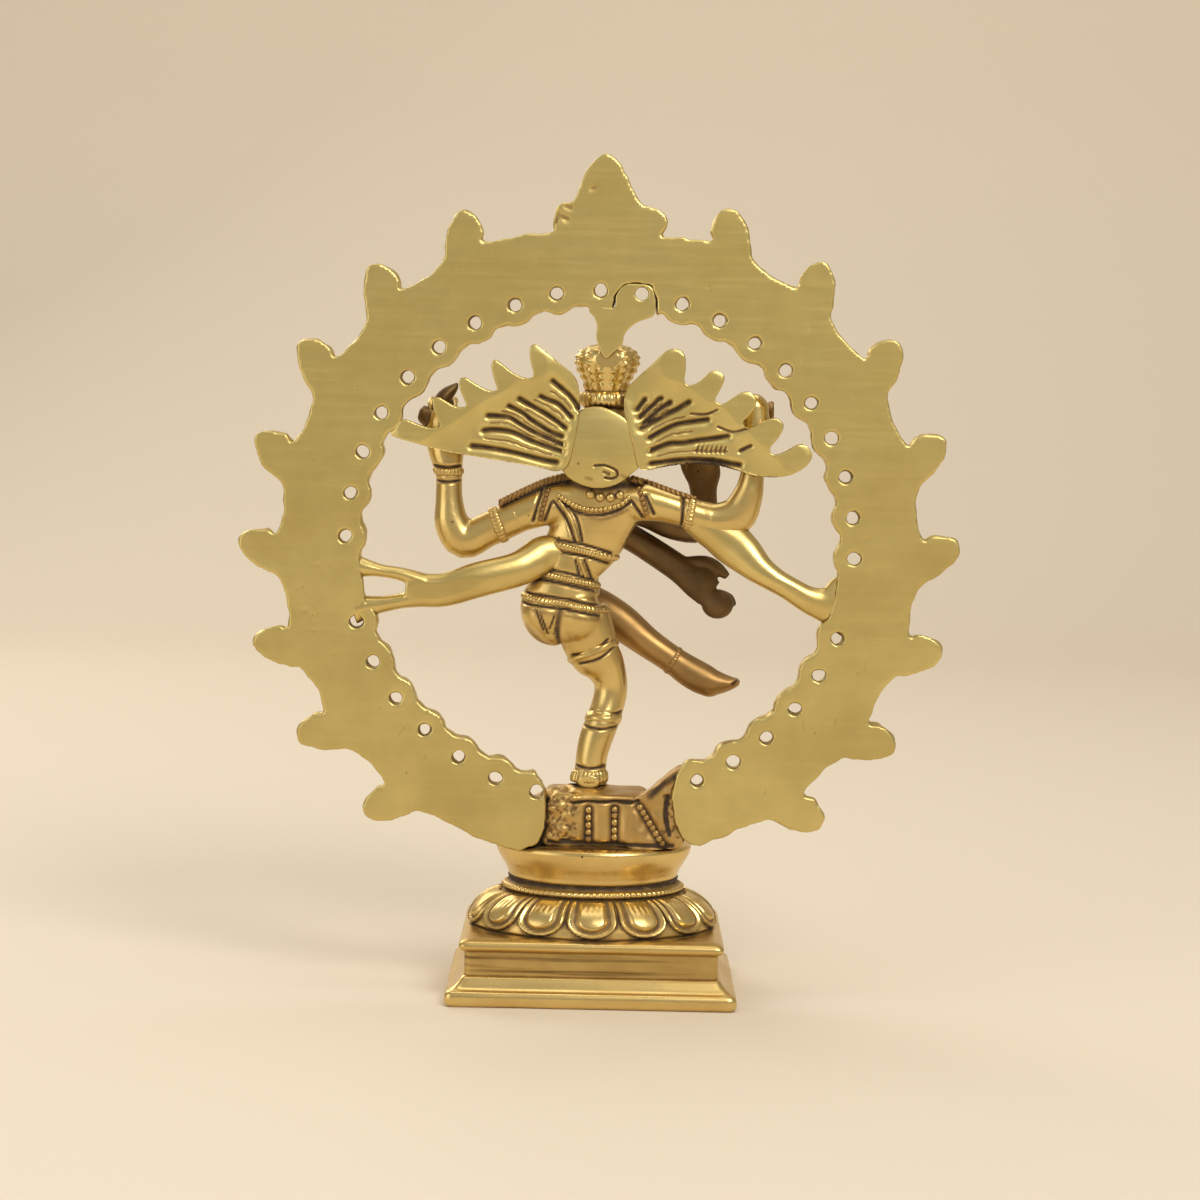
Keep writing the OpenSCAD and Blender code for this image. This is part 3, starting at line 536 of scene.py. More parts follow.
turnedOval("tickedCollar", "plinthBrass", ["ticked_collar"], [
    (collarW - 1.2 * mm, collarD - 1.2 * mm, collarLow - 0.3 * mm), (collarW - 0.3 * mm, collarD - 0.3 * mm, collarLow),
    (collarW + 0.5 * mm, collarD + 0.5 * mm, collarLow + 0.7 * mm), (collarW + 0.4 * mm, collarD + 0.4 * mm, collarLow + 1.5 * mm),
    (collarW - 0.6 * mm, collarD - 0.6 * mm, collarLow + 2.0 * mm), (collarW - 1.1 * mm, collarD - 1.1 * mm, collarLow + 2.6 * mm),
    (collarW - 0.9 * mm, collarD - 0.9 * mm, collarHigh + 0.2 * mm), (collarW - 3 * mm, collarD - 3 * mm, collarHigh + 0.3 * mm),
# darker on the collar's upper band, above its roll
], around=736, relief=collarRelief, inkAndShade=lambda a, z: 0.75 * min(1.0, max(0.0, (z - collarLow) / (1.0 * mm) - 1.45)))
cushRise = cushHigh - cushLow
cushionShape = [(0.84, -0.02), (0.862, 0.03), (0.875, 0.14), (0.905, 0.30), (0.945, 0.47), (0.98, 0.64), (0.998, 0.79),
                (0.996, 0.87), (0.975, 0.94), (0.92, 0.985), (0.84, 1.0), (0.5, 1.0), (0.05, 1.0)]
turnedOval("cushionSeat", "plinthBrass", ["cushion"],
           [((cushW + 0.8 * mm) * w, (cushD + 0.8 * mm) * w - (1 - w) * 0.8 * mm, cushLow + (cushHigh - cushLow) * h) for w, h in cushionShape])
print("lotus and cushion done")


# ---- flame ring ----

ringSizes = dict(inner=57.4, band=18.9, thick=5.0, holeRadius=1.6, inset=3.6, boss=5.0, pitchRight=9.25,
                 pitchLeft=9.75, shift=-1.0, flames=8, firstRight=22.8, firstLeft=26.0, flameRight=17.2, flameLeft=16.7, finial=16.7)
outerR = ringSizes["inner"] + ringSizes["band"]
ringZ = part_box("flame_ring")[1].z / mm - outerR - ringSizes["finial"]
holeR = ringSizes["inner"] + ringSizes["inset"]
holeAngles = [ringSizes["shift"] + k * (ringSizes["pitchRight"] if k > 0 else ringSizes["pitchLeft"])
              for k in range(-17, 18) if k not in (-10, 11)]
flameLine = [(-5.2, 0.8), (-6.3, 2.8), (-6.5, 5.6), (-5.9, 8.2), (-4.6, 9.6), (-2.8, 9.8), (-0.6, 8.7),
             (2.0, 6.2), (3.8, 3.4), (5.4, 0.9)]
finialLine = [(-12.8, -0.5), (-12.7, -2.0), (-12.5, 0.4), (-12.0, 3.6), (-10.6, 5.1), (-8.2, 5.2), (-7.2, 7.2), (-5.6, 11.2),
              (-3.2, 14.9), (-0.6, 16.7), (2.2, 15.4), (4.8, 11.6), (6.6, 7.4), (8.6, 4.9), (11.6, 4.4), (14.0, 2.4),
              (14.1, -0.4), (12.6, -2.4)]


def ringPoint(angle, r):
    a = math.radians(angle)
    return r * math.sin(a), ringZ + r * math.cos(a)


def innerRadius(angle):  # scalloped by the bosses round the holes
    r = ringSizes["inner"]
    for hole in holeAngles:
        off = holeR * math.sin(math.radians(angle - hole))
        if abs(off) < ringSizes["boss"] and abs(angle - hole) < 20:
            r = min(r, holeR * math.cos(math.radians(angle - hole)) - math.sqrt(ringSizes["boss"] ** 2 - off ** 2))
    return r


def flamePoint(angle, side, u, v):  # a place of the flame that stands at that angle
    a = math.radians(angle)
    x, z = side * u, outerR + v
    return x * math.cos(a) + z * math.sin(a), ringZ + z * math.cos(a) - x * math.sin(a)


flamesRight = [ringSizes["firstRight"] + ringSizes["flameRight"] * i for i in range(ringSizes["flames"])]
flamesLeft = [ringSizes["firstLeft"] + ringSizes["flameLeft"] * i for i in range(ringSizes["flames"])]


def ringOutline():
    seed = random.Random(5)
    points = []
    jitter = lambda p: (p[0] + seed.uniform(-0.14, 0.14), p[1] + seed.uniform(-0.14, 0.14))
    for angle in reversed(flamesLeft):
        points.append(ringPoint(-angle - 8.4, outerR - 0.3))
        points += [jitter(flamePoint(-angle, -1, u, v)) for u, v in reversed(flameLine)]
    points.append(ringPoint(-14.2, outerR - 0.1))
    points += [jitter((u, ringZ + outerR + v)) for u, v in finialLine[1:]]
    points.append(ringPoint(14.4, outerR - 0.2))
    for angle in flamesRight:
        points += [jitter(flamePoint(angle, 1, u, v)) for u, v in flameLine]
        points.append(ringPoint(angle + 8.4, outerR - 0.3))
    points += [ringPoint(155, outerR - 0.3), (29.2, 39.9), (24.5, 38.2), (21.2, 40.2), (19.0, 46.0), (18.9, 52.5), (20.8, 57.4)]
    outer = glide(points, 4)
    inner = [ringPoint(a * 0.5, innerRadius(a * 0.5)) for a in range(314, 25, -1)]
    notch = [(12.5, 164.9), (12.3, 166.6), (12.1, 169.6), (11.0, 172.3), (7.6, 172.9), (4.4, 172.5), (2.4, 170), (2.0, 166.5)]
    inner += notch
    inner += [ringPoint(a * 0.5, innerRadius(a * 0.5)) for a in range(1, -331, -1)]
    end = glide([ringPoint(-165.6, 57.0), (-12.3, 52.2), (-11.7, 47.5), (-11.9, 42.6), (-13.2, 38.6), (-16.0, 36.9),
                 ringPoint(-165.5, outerR - 0.2), ringPoint(-159, outerR), points[0]], 4)
    return [tuple(p) for p in outer] + inner + [tuple(p) for p in end[1:-1]]


bm = bmesh.new()
holes = [(*ringPoint(a, holeR), ringSizes["holeRadius"]) for a in holeAngles if not 5 < a < 12]
addPlate(bm, ringOutline(), 0, ringSizes["thick"], holes)
ring = castPiece("flameRing", bm, 0.55, 2)


def flameStrokes(angle, side):
    at = lambda u, v: flamePoint(angle, side, u, v)
    return [
        ([at(-3.4, -1), at(-4.6, 3), at(-4.5, 6.4), at(-3.2, 8), at(-1.2, 7), at(1.4, 3.8), at(3.4, 0.4)], 0.4, 0.7),
        ([at(-1.6, -2), at(-2.6, 2), at(-2.9, 5), at(-2.0, 5.6), at(-0.4, 3.4), at(1.0, -0.4)], 0.4, 0.6),
        ([at(-5.6, -0.6), at(-7.6, -2.2), at(-9.6, -1.2)], 0.4, 0.6),
    ]


frontStrokes = [([ringPoint(a, r) for a in range(-156, 157, 6)], 0.45, deep)
                for r, deep in ((56.9 + 8.4, 0.8), (56.9 + 10.2, 0.6), (outerR - 3.2, 0.8))]
for right, left in zip(flamesRight, flamesLeft):
    frontStrokes += flameStrokes(right, 1) + flameStrokes(-left, -1)
engrave(ring, frontStrokes, 1)
scars = random.Random(21)
backScars = [([(-9.6, 190.6), (-8.4, 190.2)], 0.8, 0.3), ([(-10.6, 188.2), (-9.2, 187.6)], 0.7, 0.35),
             ([(-12.0, 186.8), (-11.4, 189)], 0.6, 0.4), ([(-3.6, 194.8), (-2.8, 195.2)], 0.5, 0.3)]
for _ in range(46):  # scratches and small casting pits
    angle, r, turn = scars.uniform(-150, 150), scars.uniform(63.5, 74.5), scars.uniform(0, math.pi)
    x, z = ringPoint(angle, r)
    reach = scars.choice((0.2, 0.3, 1.6, 2.6))
    backScars.append(([(x, z), (x + reach * math.cos(turn), z + reach * math.sin(turn))], 0.25, 0.22 if reach < 1 else 0.05))
engrave(ring, backScars, -1, 0.7)
sides = 1 - np.abs(slopes(ring)[:, 1])
roughen(ring, 0.55, 330, 2.0, lambda co: sides)
roughen(ring, 0.10, 70, 9.0)
fileFlat(ring)
keepPiece(ring, "filedBrass", "flame_ring")

# the lug is let into the ring's notch and ends in a pointed tongue on the crown
bm = bmesh.new()
lugLine = [(0.3, 154.9), (-1.5, 158.4), (-1.9, 160.4), (-1.7, 162.4), (-2.4, 164.6), (-3.8, 166.2), (-2, 167.4), (2.2, 166.9),
           (2.5, 169.6), (4.4, 172.3), (7.6, 172.7), (10.9, 172.1), (11.9, 169.6), (12.1, 166.4), (11.2, 164.9), (8.2, 163.8),
           (6.0, 162.2), (4.7, 160.4), (4.3, 158.2), (2.2, 156.4)]
addPlate(bm, [tuple(p) for p in glide(lugLine, 3, True)], 0, 4.9, [(*ringPoint(8.25, holeR), 1.6)])
lug = castPiece("crownLug", bm, 0.3, 2)
co = places(lug)
thin = np.clip((165 * mm - co[:, 2]) / (5 * mm), 0, 1)
co[:, 1] = backY + (co[:, 1] - backY) * (1 - 0.42 * thin)
putPlaces(lug, co)
roughen(lug, 0.06, 90, 4.0)
fileFlat(lug)
keepPiece(lug, "filedBrass", "crown_lug")
print("ring done", len(ring.data.polygons))


# ---- disc and hair fans ----

fanSizes = dict(thick=3.4, groove=0.36, deep=0.8)
discLine = [(-4.5, 142.8), (-0.4, 143.4), (4.6, 141.4), (8.1, 138.2), (11.4, 135.7), (11.8, 133.9), (10.4, 130.8),
            (8.4, 128.6), (3.3, 124.8), (-2.2, 124.0), (-7.4, 126.0), (-10.0, 129.2), (-9.7, 132), (-8.7, 137.6), (-6.8, 140.9)]
leftFan = dict(
    line=[(-5.6, 143.5), (-6.4, 149.8), (-10.6, 153.6), (-14.6, 156.8), (-16.6, 157.9), (-17.6, 156.8), (-17.3, 153.4),
          (-16.6, 150.6), (-18.2, 149.8), (-21.2, 150.9), (-24.6, 153.4), (-26, 154), (-26.7, 152.6), (-26.0, 149.4),
          (-25.2, 147), (-27.2, 146.7), (-30.6, 148.4), (-32.8, 149.7), (-34.2, 149.2), (-34.1, 147), (-33.0, 144.4),
          (-32.6, 142.9), (-34.8, 142.7), (-37.6, 144.1), (-39.4, 144.9), (-40.5, 144.0), (-40.0, 141.4), (-38.8, 138.8),
          (-38.9, 137.6), (-41.2, 137.5), (-44.2, 138.5), (-47.4, 139.5), (-49.3, 137.9), (-50.4, 136), (-49, 135.1),
          (-43, 133.4), (-36, 131.8), (-26, 130.4), (-16, 128.9), (-9.5, 128), (-7, 133)],
    tongues=[(-16.2, 153), (-25.2, 149.6), (-32.8, 145.4), (-38.8, 141.2), (-45.5, 136.6)],
    grooves=[[(-10.9, 129.9), (-17, 131.2), (-24, 132.6), (-31.1, 133.5)],
             [(-9.5, 132.5), (-17.3, 135.2), (-22.8, 137.3), (-28.4, 137.2)],
             [(-9.2, 134.3), (-16.6, 137.1), (-22.1, 140.3), (-27.3, 140.7)],
             [(-9.9, 136.1), (-14.8, 138.6), (-19, 141.4), (-22.2, 143.2)],
             [(-8.9, 138.4), (-14.8, 142.3), (-19.7, 144.7)],
             [(-7.5, 140.9), (-10.5, 143.8), (-14.9, 145.6)],
             [(-6.1, 143.2), (-8.3, 146.1), (-12.1, 149.3)]])
rightFan = dict(
    line=[(5.2, 142.6), (5.6, 147.6), (8.2, 150.6), (11.6, 153.8), (14.6, 156.8), (17.2, 157.5), (19.2, 156.2), (19.6, 153),
          (19.2, 150), (20.6, 148.9), (23.2, 150.2), (25.6, 152.4), (27.8, 152.2), (28.8, 150.6), (27.6, 147.6), (26.6, 145.6),
          (28.4, 144.6), (30.6, 146), (33.2, 147.6), (35.6, 147.4), (36.6, 145), (35, 142.2), (33.2, 140.2), (35.4, 139.0),
          (38.2, 140.6), (41, 141.6), (43.2, 140), (42, 137), (40.0, 134.4), (40.8, 132.9), (43.2, 133.4), (46.4, 135.2),
          (48.4, 135.4), (50.2, 133.2), (49, 130.4), (45.8, 128.4), (42, 127.5), (37.6, 127.7), (33, 128.8), (28.1, 130.2),
          (23, 130.6), (16, 129.8), (9.4, 128.6), (7.6, 134)],
    tongues=[(16.6, 153.6), (25.2, 148.8), (33.6, 143.6), (39.8, 138.4), (46, 131.6)],
    grooves=[[(11.9, 130), (20.6, 131.3), (27, 131), (33.1, 130.1)],
             [(11.8, 133.3), (16.2, 134.9), (22.7, 135.7), (30, 137)],
             [(11.4, 136.2), (17.5, 139.6), (24.8, 140.9)],
             [(9.5, 138.4), (13.5, 141), (17.5, 142.9), (20.4, 144.8)],
             [(9.8, 139.5), (11.6, 141.3), (16, 144.7)],
             [(9.1, 141.3), (12.3, 144.3), (13.7, 145.8)],
             [(8.3, 143.1), (10.1, 145.3)]])


def hairFan(name, sizes, side, node):
    bm = bmesh.new()
    addPlate(bm, [tuple(p) for p in glide(sizes["line"], 3, True)], 0, fanSizes["thick"])
    fan = castPiece(name, bm, 0.3, 2)
    # the strands lie lower than the filed tongues and are rounded between their grooves
    co = places(fan)
    flat = co[:, [0, 2]] / mm
    tongue = sum(np.exp(-(np.linalg.norm(flat - np.array(t), axis=1) / 5.2) ** 2) for t in sizes["tongues"])
    disc = np.linalg.norm(flat - np.array((0.6, 133.5)), axis=1)
    sunk = np.clip(1.1 - 1.5 * tongue, 0, 1) * np.clip((disc - 7) / 6, 0, 1)
    back = np.clip(-slopes(fan)[:, 1] * 2, 0, 1)
    co[:, 1] += sunk * back * 0.8 * mm
    putPlaces(fan, co)
    stray = random.Random(7 + side)
    waver = lambda g: [(x + stray.uniform(-0.22, 0.22), z + stray.uniform(-0.16, 0.16)) for x, z in glide(g, 2)]
    cuts = [waver(g) for g in sizes["grooves"]]
    engrave(fan, [(g, 0.95, 0.62) for g in cuts], -1, 0.35)
    engrave(fan, [(g, fanSizes["groove"], fanSizes["deep"]) for g in cuts], -1)
    between = []
    for a, b in zip(sizes["grooves"], sizes["grooves"][1:]):
        a, b = glide(a, 3), glide(b, 3)
        count = min(len(a), len(b))
        between.append(waver([(a[i] + b[i]) / 2 for i in range(1, count - 1)]))
    engrave(fan, [(g, 0.30, 0.42) for g in between], -1, 0.75)
    engrave(fan, [(g, 0.5, 0.9) for g in sizes["grooves"]], 1)
    if side > 0:
        ribs = [([(x, 133.2), (x + 0.4, 134.6)], 0.28, 0.4) for x in np.arange(22.6, 30, 1.1)]
        edges = [([(21, 142.2), (24.4, 142), (27.2, 143.2)], 0.35, 0.5), ([(27.6, 139.2), (31, 138), (34.6, 139)], 0.35, 0.5),
                 ([(33, 133.6), (35.4, 134.8)], 0.5, 0.7)]
        engrave(fan, ribs + edges, -1)
    roughen(fan, 0.12, 210, 2.0 * side)
    fileFlat(fan)
    return keepPiece(fan, "filedBrass", node)


hairFan("hairFanLeft", leftFan, -1, "hair_fan_left")
hairFan("hairFanRight", rightFan, 1, "hair_fan_right")

bm = bmesh.new()
addPlate(bm, [tuple(p) for p in glide(discLine, 4, True)], 0, 3.6)
disc = castPiece("napeDisc", bm, 0.28, 8)
co = places(disc)
rise = np.linalg.norm((co[:, [0, 2]] / mm - np.array((0.8, 133.8))) / np.array((12.5, 11)), axis=1)
co[:, 1] += np.clip(rise - 0.15, 0, 1) ** 2 * 1.9 * mm * (co[:, 1] < backY + 1.8 * mm)
putPlaces(disc, co)
engrave(disc, [([(-1.7, 129.3), (0.4, 129.5), (1.9, 129.1), (3.6, 128.2), (3.8, 126.9), (2.4, 126.3), (0.9, 126.5)], 0.3, 0.7),
               ([(0.6, 127.9), (1.8, 127.4)], 0.5, 0.45), ([(-3.6, 126.4), (-2.4, 126.1)], 0.7, 0.05),
               ([(4.8, 127.2), (5.6, 126.8)], 0.6, 0.05)], -1)
roughen(disc, 0.07, 130, 1.0)
fileFlat(disc)
keepPiece(disc, "filedBrass", "nape_disc")
print("fans done")


# ---- figure ----

torsoRows = [(-7.6, 9, 47, 7.9, 5.4), (-7.4, 9, 50, 7.4, 5.0), (-7.0, 9, 53, 7.3, 4.8), (-5.3, 9, 57, 8.5, 4.9),
             (-2.8, 9, 61.5, 9.3, 5.2), (-1.6, 9, 66, 10.6, 5.4), (-0.6, 8.6, 70.4, 11.6, 5), (0.2, 8, 73.8, 8.2, 4.4),
             (0.6, 7.8, 78.5, 4.6, 4)]
hipRows = [(-6.2, 9.4, 36.6, 5.0, 4.4), (-7.6, 9.2, 39, 8.4, 5.6), (-9.0, 9, 42.6, 9.8, 6.1), (-8.8, 9, 46, 9.1, 5.8),
           (-7.5, 9, 50, 7.7, 5.1)]
legRows = [(-4.4, 9.4, 43, 6.6, 5.6), (-2.9, 9.8, 37.5, 6.8, 5.5), (-0.9, 10.6, 32.5, 6.3, 5.2), (1.5, 12.0, 29.4, 5.2, 4.9),
           (3.2, 12.8, 25.6, 4.2, 4.5), (3.3, 12.6, 22, 4.05, 4.3), (2.4, 11.6, 18.2, 4.0, 4.2), (1.1, 10.2, 14.6, 4.1, 4.2),
           (0.0, 9.6, 11.6, 4.05, 4.1), (-0.85, 9.2, 7.9, 3.85, 3.9), (-1.25, 9, 3.8, 3.9, 3.8), (-1.5, 9, 0.8, 4.5, 4.2)]
raisedRows = [(-9.6, 11.6, 43, 5, 4.6), (-7, 17, 44.2, 5, 4.6), (-1, 21, 42.6, 4.9, 4.6), (5, 22, 39.2, 4.6, 4.3),
              (12, 21.4, 34.2, 3.8, 3.8), (18, 20.8, 30.2, 3.5, 3.4), (23, 20.4, 27.0, 3.9, 3.5), (27, 20, 25.0, 3.8, 3.5),
              (30, 20, 24.5, 2.9, 3.3), (33, 20, 24.6, 1.7, 2.9), (34.8, 20, 25.0, 0.8, 2.2)]
drumArmRows = [(4, 8.4, 69.4, 5.2, 4.6), (9, 8.2, 69.4, 4.9, 4.4), (15, 7.8, 68.4, 4.1, 4), (20.5, 7.4, 67, 3.8, 3.7),
               (27, 7, 65.2, 4.2, 3.7), (32.6, 6.8, 66.4, 4.6, 3.6), (35.2, 7, 71.4, 3.6, 3.3), (36.2, 7.2, 76.4, 2.9, 3),
               (37, 7.6, 83, 3, 2.8), (36.8, 8, 88.0, 3.4, 2.8), (36.4, 8.2, 91.5, 3.4, 2.6)]
flameArmRows = [(-4, 9, 69.8, 5.4, 4.8), (-9.4, 8.8, 69.2, 5.3, 4.6), (-15, 8.2, 67.2, 4.6, 4.2), (-20, 7.8, 65.2, 4.2, 4),
                (-27, 7.2, 61.8, 4.1, 3.8), (-32.6, 7, 59.4, 4.6, 3.9), (-35.6, 7.2, 63.4, 4.2, 3.8), (-36.4, 7.6, 69, 3.3, 3.5),
                (-36.6, 8, 75, 3.2, 3.3), (-37.4, 8.4, 81, 4.4, 3.2), (-37.8, 8.6, 87.5, 4.6, 3), (-38, 8.8, 90.4, 3.6, 2.2)]
blessingRows = [(6, 10.6, 68, 3.8, 3.8), (12, 16.4, 66, 3.8, 3.6), (18, 19, 63.4, 3.9, 3.5), (24, 19.4, 63, 3.9, 3.4),
                (25.2, 20, 67.4, 3.3, 2.9), (25, 20.4, 72, 3.4, 2.4), (24.8, 20.6, 75.6, 4.3, 1.9), (24.6, 21, 79.4, 3.9, 1.5)]
crossingRows = [(-6, 10.6, 67.6, 3.8, 3.8), (-4, 17, 66.2, 3.8, 3.4), (1, 19.2, 63.4, 3.5, 3.3), (8, 19.8, 59.6, 3.3, 3.1),
                (15, 19.4, 55.4, 3.4, 3.1), (20, 19.2, 52.2, 3.5, 2.8), (24, 19, 49.2, 4.0, 2.3), (27, 19, 46.6, 3.8, 2.0)]

bm = bmesh.new()
addLimb(bm, torsoRows, sides=28)
addLimb(bm, hipRows, sides=28)
addLimb(bm, legRows[:9], sides=24)
addLimb(bm, drumArmRows[:5])
addLimb(bm, flameArmRows[:5])
addBall(bm, figurePlace(-12.4, 7.6, 42.0), [6.2 * mm, 5.6 * mm, 5.8 * mm])
addBall(bm, figurePlace(-4.6, 7.2, 41.4), [5.4 * mm, 5.4 * mm, 6.4 * mm])
addBall(bm, figurePlace(-3.6, 12.6, 66.6), [4.2 * mm, 2.6 * mm, 3.8 * mm])
addBall(bm, figurePlace(4.4, 12.4, 66.8), [4.2 * mm, 2.6 * mm, 3.8 * mm])
addBall(bm, figurePlace(-6.4, 12.4, 52.6), [5.0 * mm, 2.8 * mm, 5.0 * mm])
body = castPiece("figureBody", bm, 0.42, 6)
bodyCuts = [
    ([(-11.4, 120.7), (-8.2, 116), (-6.1, 110.9)], 0.34, 0.7), ([(-9.1, 120.8), (-5.8, 116.5), (-4.3, 110.9)], 0.34, 0.7),
    ([(-5.8, 106.4), (-4.7, 102.6)], 0.32, 0.6), ([(-3.6, 106.4), (-1.7, 101.9)], 0.32, 0.6),
    ([(-14.3, 123.4), (-16.1, 115.5)], 0.36, 0.8), ([(-11.8, 120.3), (-13.3, 115.5)], 0.36, 0.8),
    ([(7.6, 120.7), (10.1, 116.8)], 0.36, 0.8), ([(10.8, 122.4), (12.8, 117.7)], 0.36, 0.8),
    ([(-10.0, 120.6), (-6.2, 118.2), (-1.1, 117.3), (4.5, 118.6), (7.4, 121)], 0.34, 0.75),
    ([(-11.8, 111.4), (-4, 110.2), (2.9, 108.1)], 0.32, 0.65), ([(-12.6, 108.6), (-4, 107.4), (2.2, 105.5)], 0.32, 0.65),
    ([(-14.2, 104.2), (-8, 103.3), (-1.2, 101.6)], 0.32, 0.65), ([(-14.8, 101.8), (-8, 100.6), (-1.0, 99.0)], 0.32, 0.65),
    ([(-17.8, 98.3), (-7.7, 97.1), (0.3, 95.7)], 0.32, 0.65), ([(-18.4, 95.8), (-7.7, 94.6), (0.4, 93.1)], 0.32, 0.65),
    ([(-15.2, 94.5), (-13.2, 89.3)], 0.26, 0.5), ([(-13.9, 93.3), (-12.1, 88.5)], 0.26, 0.5),
    ([(-10.5, 93), (-11.6, 89.8)], 0.26, 0.5), ([(-9.8, 91.6), (-10.6, 88.4)], 0.24, 0.35), ([(-9.2, 94), (-9.8, 89), (-9.2, 85.4)], 0.9, 0.35),
    ([(-6.3, 83.1), (-1.1, 84.4), (2.6, 87.3)], 0.32, 0.65), ([(-4.3, 81), (0.5, 82.5), (4, 85.3)], 0.32, 0.65),
    ([(-2.4, 69.6), (2.2, 68.9), (7, 69.4)], 0.32, 0.6), ([(-3.6, 66.2), (1.2, 65.4), (6.2, 66)], 0.32, 0.6),
]
engrave(body, bodyCuts, -1)
# painted shade: dark bands, barely cut or not at all, where shade falls under the nape disc and hair fans, the necklace
# and the belts
shadeBands = [([(-9, 125.4), (0, 124.0), (9, 125.4)], 1.5, 0.45), ([(-13.4, 113.2), (-12.6, 110.4)], 0.9, 0.1),
          ([(-8, 118.6), (0, 116.4), (6.4, 118.8)], 0.8, 0.02), ([(-13.6, 101.4), (-1, 98.6)], 0.7, 0.0), ([(-17.2, 94.4), (0, 92)], 0.7, 0.0),
          ([(-17.4, 90), (-13.4, 85.8), (-8.4, 84.8)], 1.1, 0.02)]
engrave(body, shadeBands, -1)
armCuts = [([(x0, z0), (x1, z1)], 0.36, 0.7) for x0, z0, x1, z1 in (
    (-27.2, 117.8, -25.4, 107.8), (-23.4, 119.8, -21.9, 109.6), (20.0, 122.4, 19.2, 112.6), (23.6, 121.6, 22.8, 111.4))]
engrave(body, armCuts, -1)
engrave(body, armCuts, 1)
roughen(body, 0.14, 120, 5.0)
keepPiece(body, "figureBrass", "torso", "hips")

bm = bmesh.new()
addLimb(bm, legRows[7:], sides=24)
shin = castPiece("standingShin", bm, 0.36, 4)
engrave(shin, [([(-3.6, 66.2), (1.2, 65.4), (6.2, 66)], 0.32, 0.6), ([(-6, 56.6), (-1.5, 55.8), (3.6, 56.4)], 0.32, 0.6)], -1)
engrave(shin, [([(-6, 57.2), (3.6, 57.2)], 0.34, 0.5)], 1)
roughen(shin, 0.1, 120, 6.0)
keepPiece(shin, "figureBrass", "standing_leg")

footRows = [(-1.5, 4.8, 1.5, 2.6, 1.7), (-1.5, 8, 2.0, 3.6, 2.2), (-1.2, 13, 1.9, 3.7, 1.9), (-0.9, 17, 1.5, 4.1, 1.5),
            (-0.8, 19.4, 1.2, 3.9, 1.2)]
bm = bmesh.new()
addLimb(bm, footRows, ref=Vector((0, 0, 1)))
for i in range(5):
    x = -3.9 + 1.55 * i
    reach = (21.0, 21.9, 21.9, 21.6, 22.2)[i]
    addLimb(bm, [(x * 0.9, 17, 1.2, 0.8, 1.0), (x, reach - 1, 1.0, 0.85 + 0.1 * (i == 4), 0.9), (x, reach, 0.9, 0.5, 0.6)],
            ref=Vector((0, 0, 1)), sides=10)
foot = castPiece("standingFoot", bm, 0.3, 3)
keepPiece(foot, "figureBrass", "standing_foot")

bm = bmesh.new()
addLimb(bm, raisedRows)
addBall(bm, figurePlace(27.6, 19.8, 22.8), [2.8 * mm, 2.8 * mm, 1.8 * mm])
for i in range(5):
    y = 17.8 + 1.15 * i
    addLimb(bm, [(30.5, y, 24.6, 1.0, 0.8), (33.6, y + 0.1, 25.0, 0.8, 0.7), (34.8 + 0.3 * (i in (1, 2)), y + 0.1, 25.2, 0.5, 0.4)],
            sides=10)
raised = castPiece("raisedLeg", bm, 0.38, 5)
engrave(raised, [([(33.4, 75.6), (34.6, 77)], 0.35, 0.4)], -1)
roughen(raised, 0.16, 120, 7.0)
# painted shade: the raised leg takes the dark brown finish for the shade it stands in
keepPiece(raised, "agedAndShadedBrass", "raised_leg")


def handPiece(name, finish, node, rows, fingers, palms=(), grain=0.34, rounds=3, nodes=()):
    bm = bmesh.new()
    addLimb(bm, rows)
    for finger in fingers:
        addLimb(bm, finger, sides=12)
    for centre, radii in palms:
        addBall(bm, figurePlace(*centre), [r * mm for r in radii])
    hand = castPiece(name, bm, grain, rounds)
    roughen(hand, 0.12, 140, 8.0)
    return keepPiece(hand, finish, node)


handPiece("drumArm", "figureBrass", "drum_arm", drumArmRows[3:], [
    [(35.0 + 0.7 * i, 9.6, 90.6 + 0.5 * (i % 2), 0.9, 1.0), (34.6 + 1.1 * i, 12.4, 92.6, 0.9, 0.9),
     (34.8 + 1.0 * i, 15.4, 91.2, 0.8, 0.8)] for i in range(4)] + [
    [(33.8, 8.6, 88, 1.2, 1.2), (32.6, 10.6, 90.4, 1.1, 1.1), (33.2, 13.0, 91.0, 0.9, 0.9)]],
    [((36.2, 8.4, 91.8), (3.7, 2.8, 4.0))])
flameArm = handPiece("flameArm", "figureBrass", "flame_arm", flameArmRows[3:], [
    [(-40.6 + 1.7 * i, 8.6, 89.4, 1.1, 1.2), (-41.2 + 1.8 * i, 10.2, 91.6, 1.0, 1.0),
     (-41.0 + 1.8 * i, 12.6, 92.6, 0.9, 0.8), (-40.8 + 1.8 * i, 14.2, 92.0, 0.6, 0.6)] for i in range(4)] + [
    [(-34.6, 8.8, 85.5, 1.4, 1.2), (-32.8, 10, 88.6, 1.1, 1.0), (-32.8, 11.6, 90.4, 0.8, 0.8)]])
engrave(flameArm, [([(-41.6, 128.5), (-37.4, 128.1), (-33.2, 128.5)], 0.34, 0.6),
                   ([(-41.2, 125.0), (-37, 124.6), (-33.2, 125.0)], 0.34, 0.6)], -1)
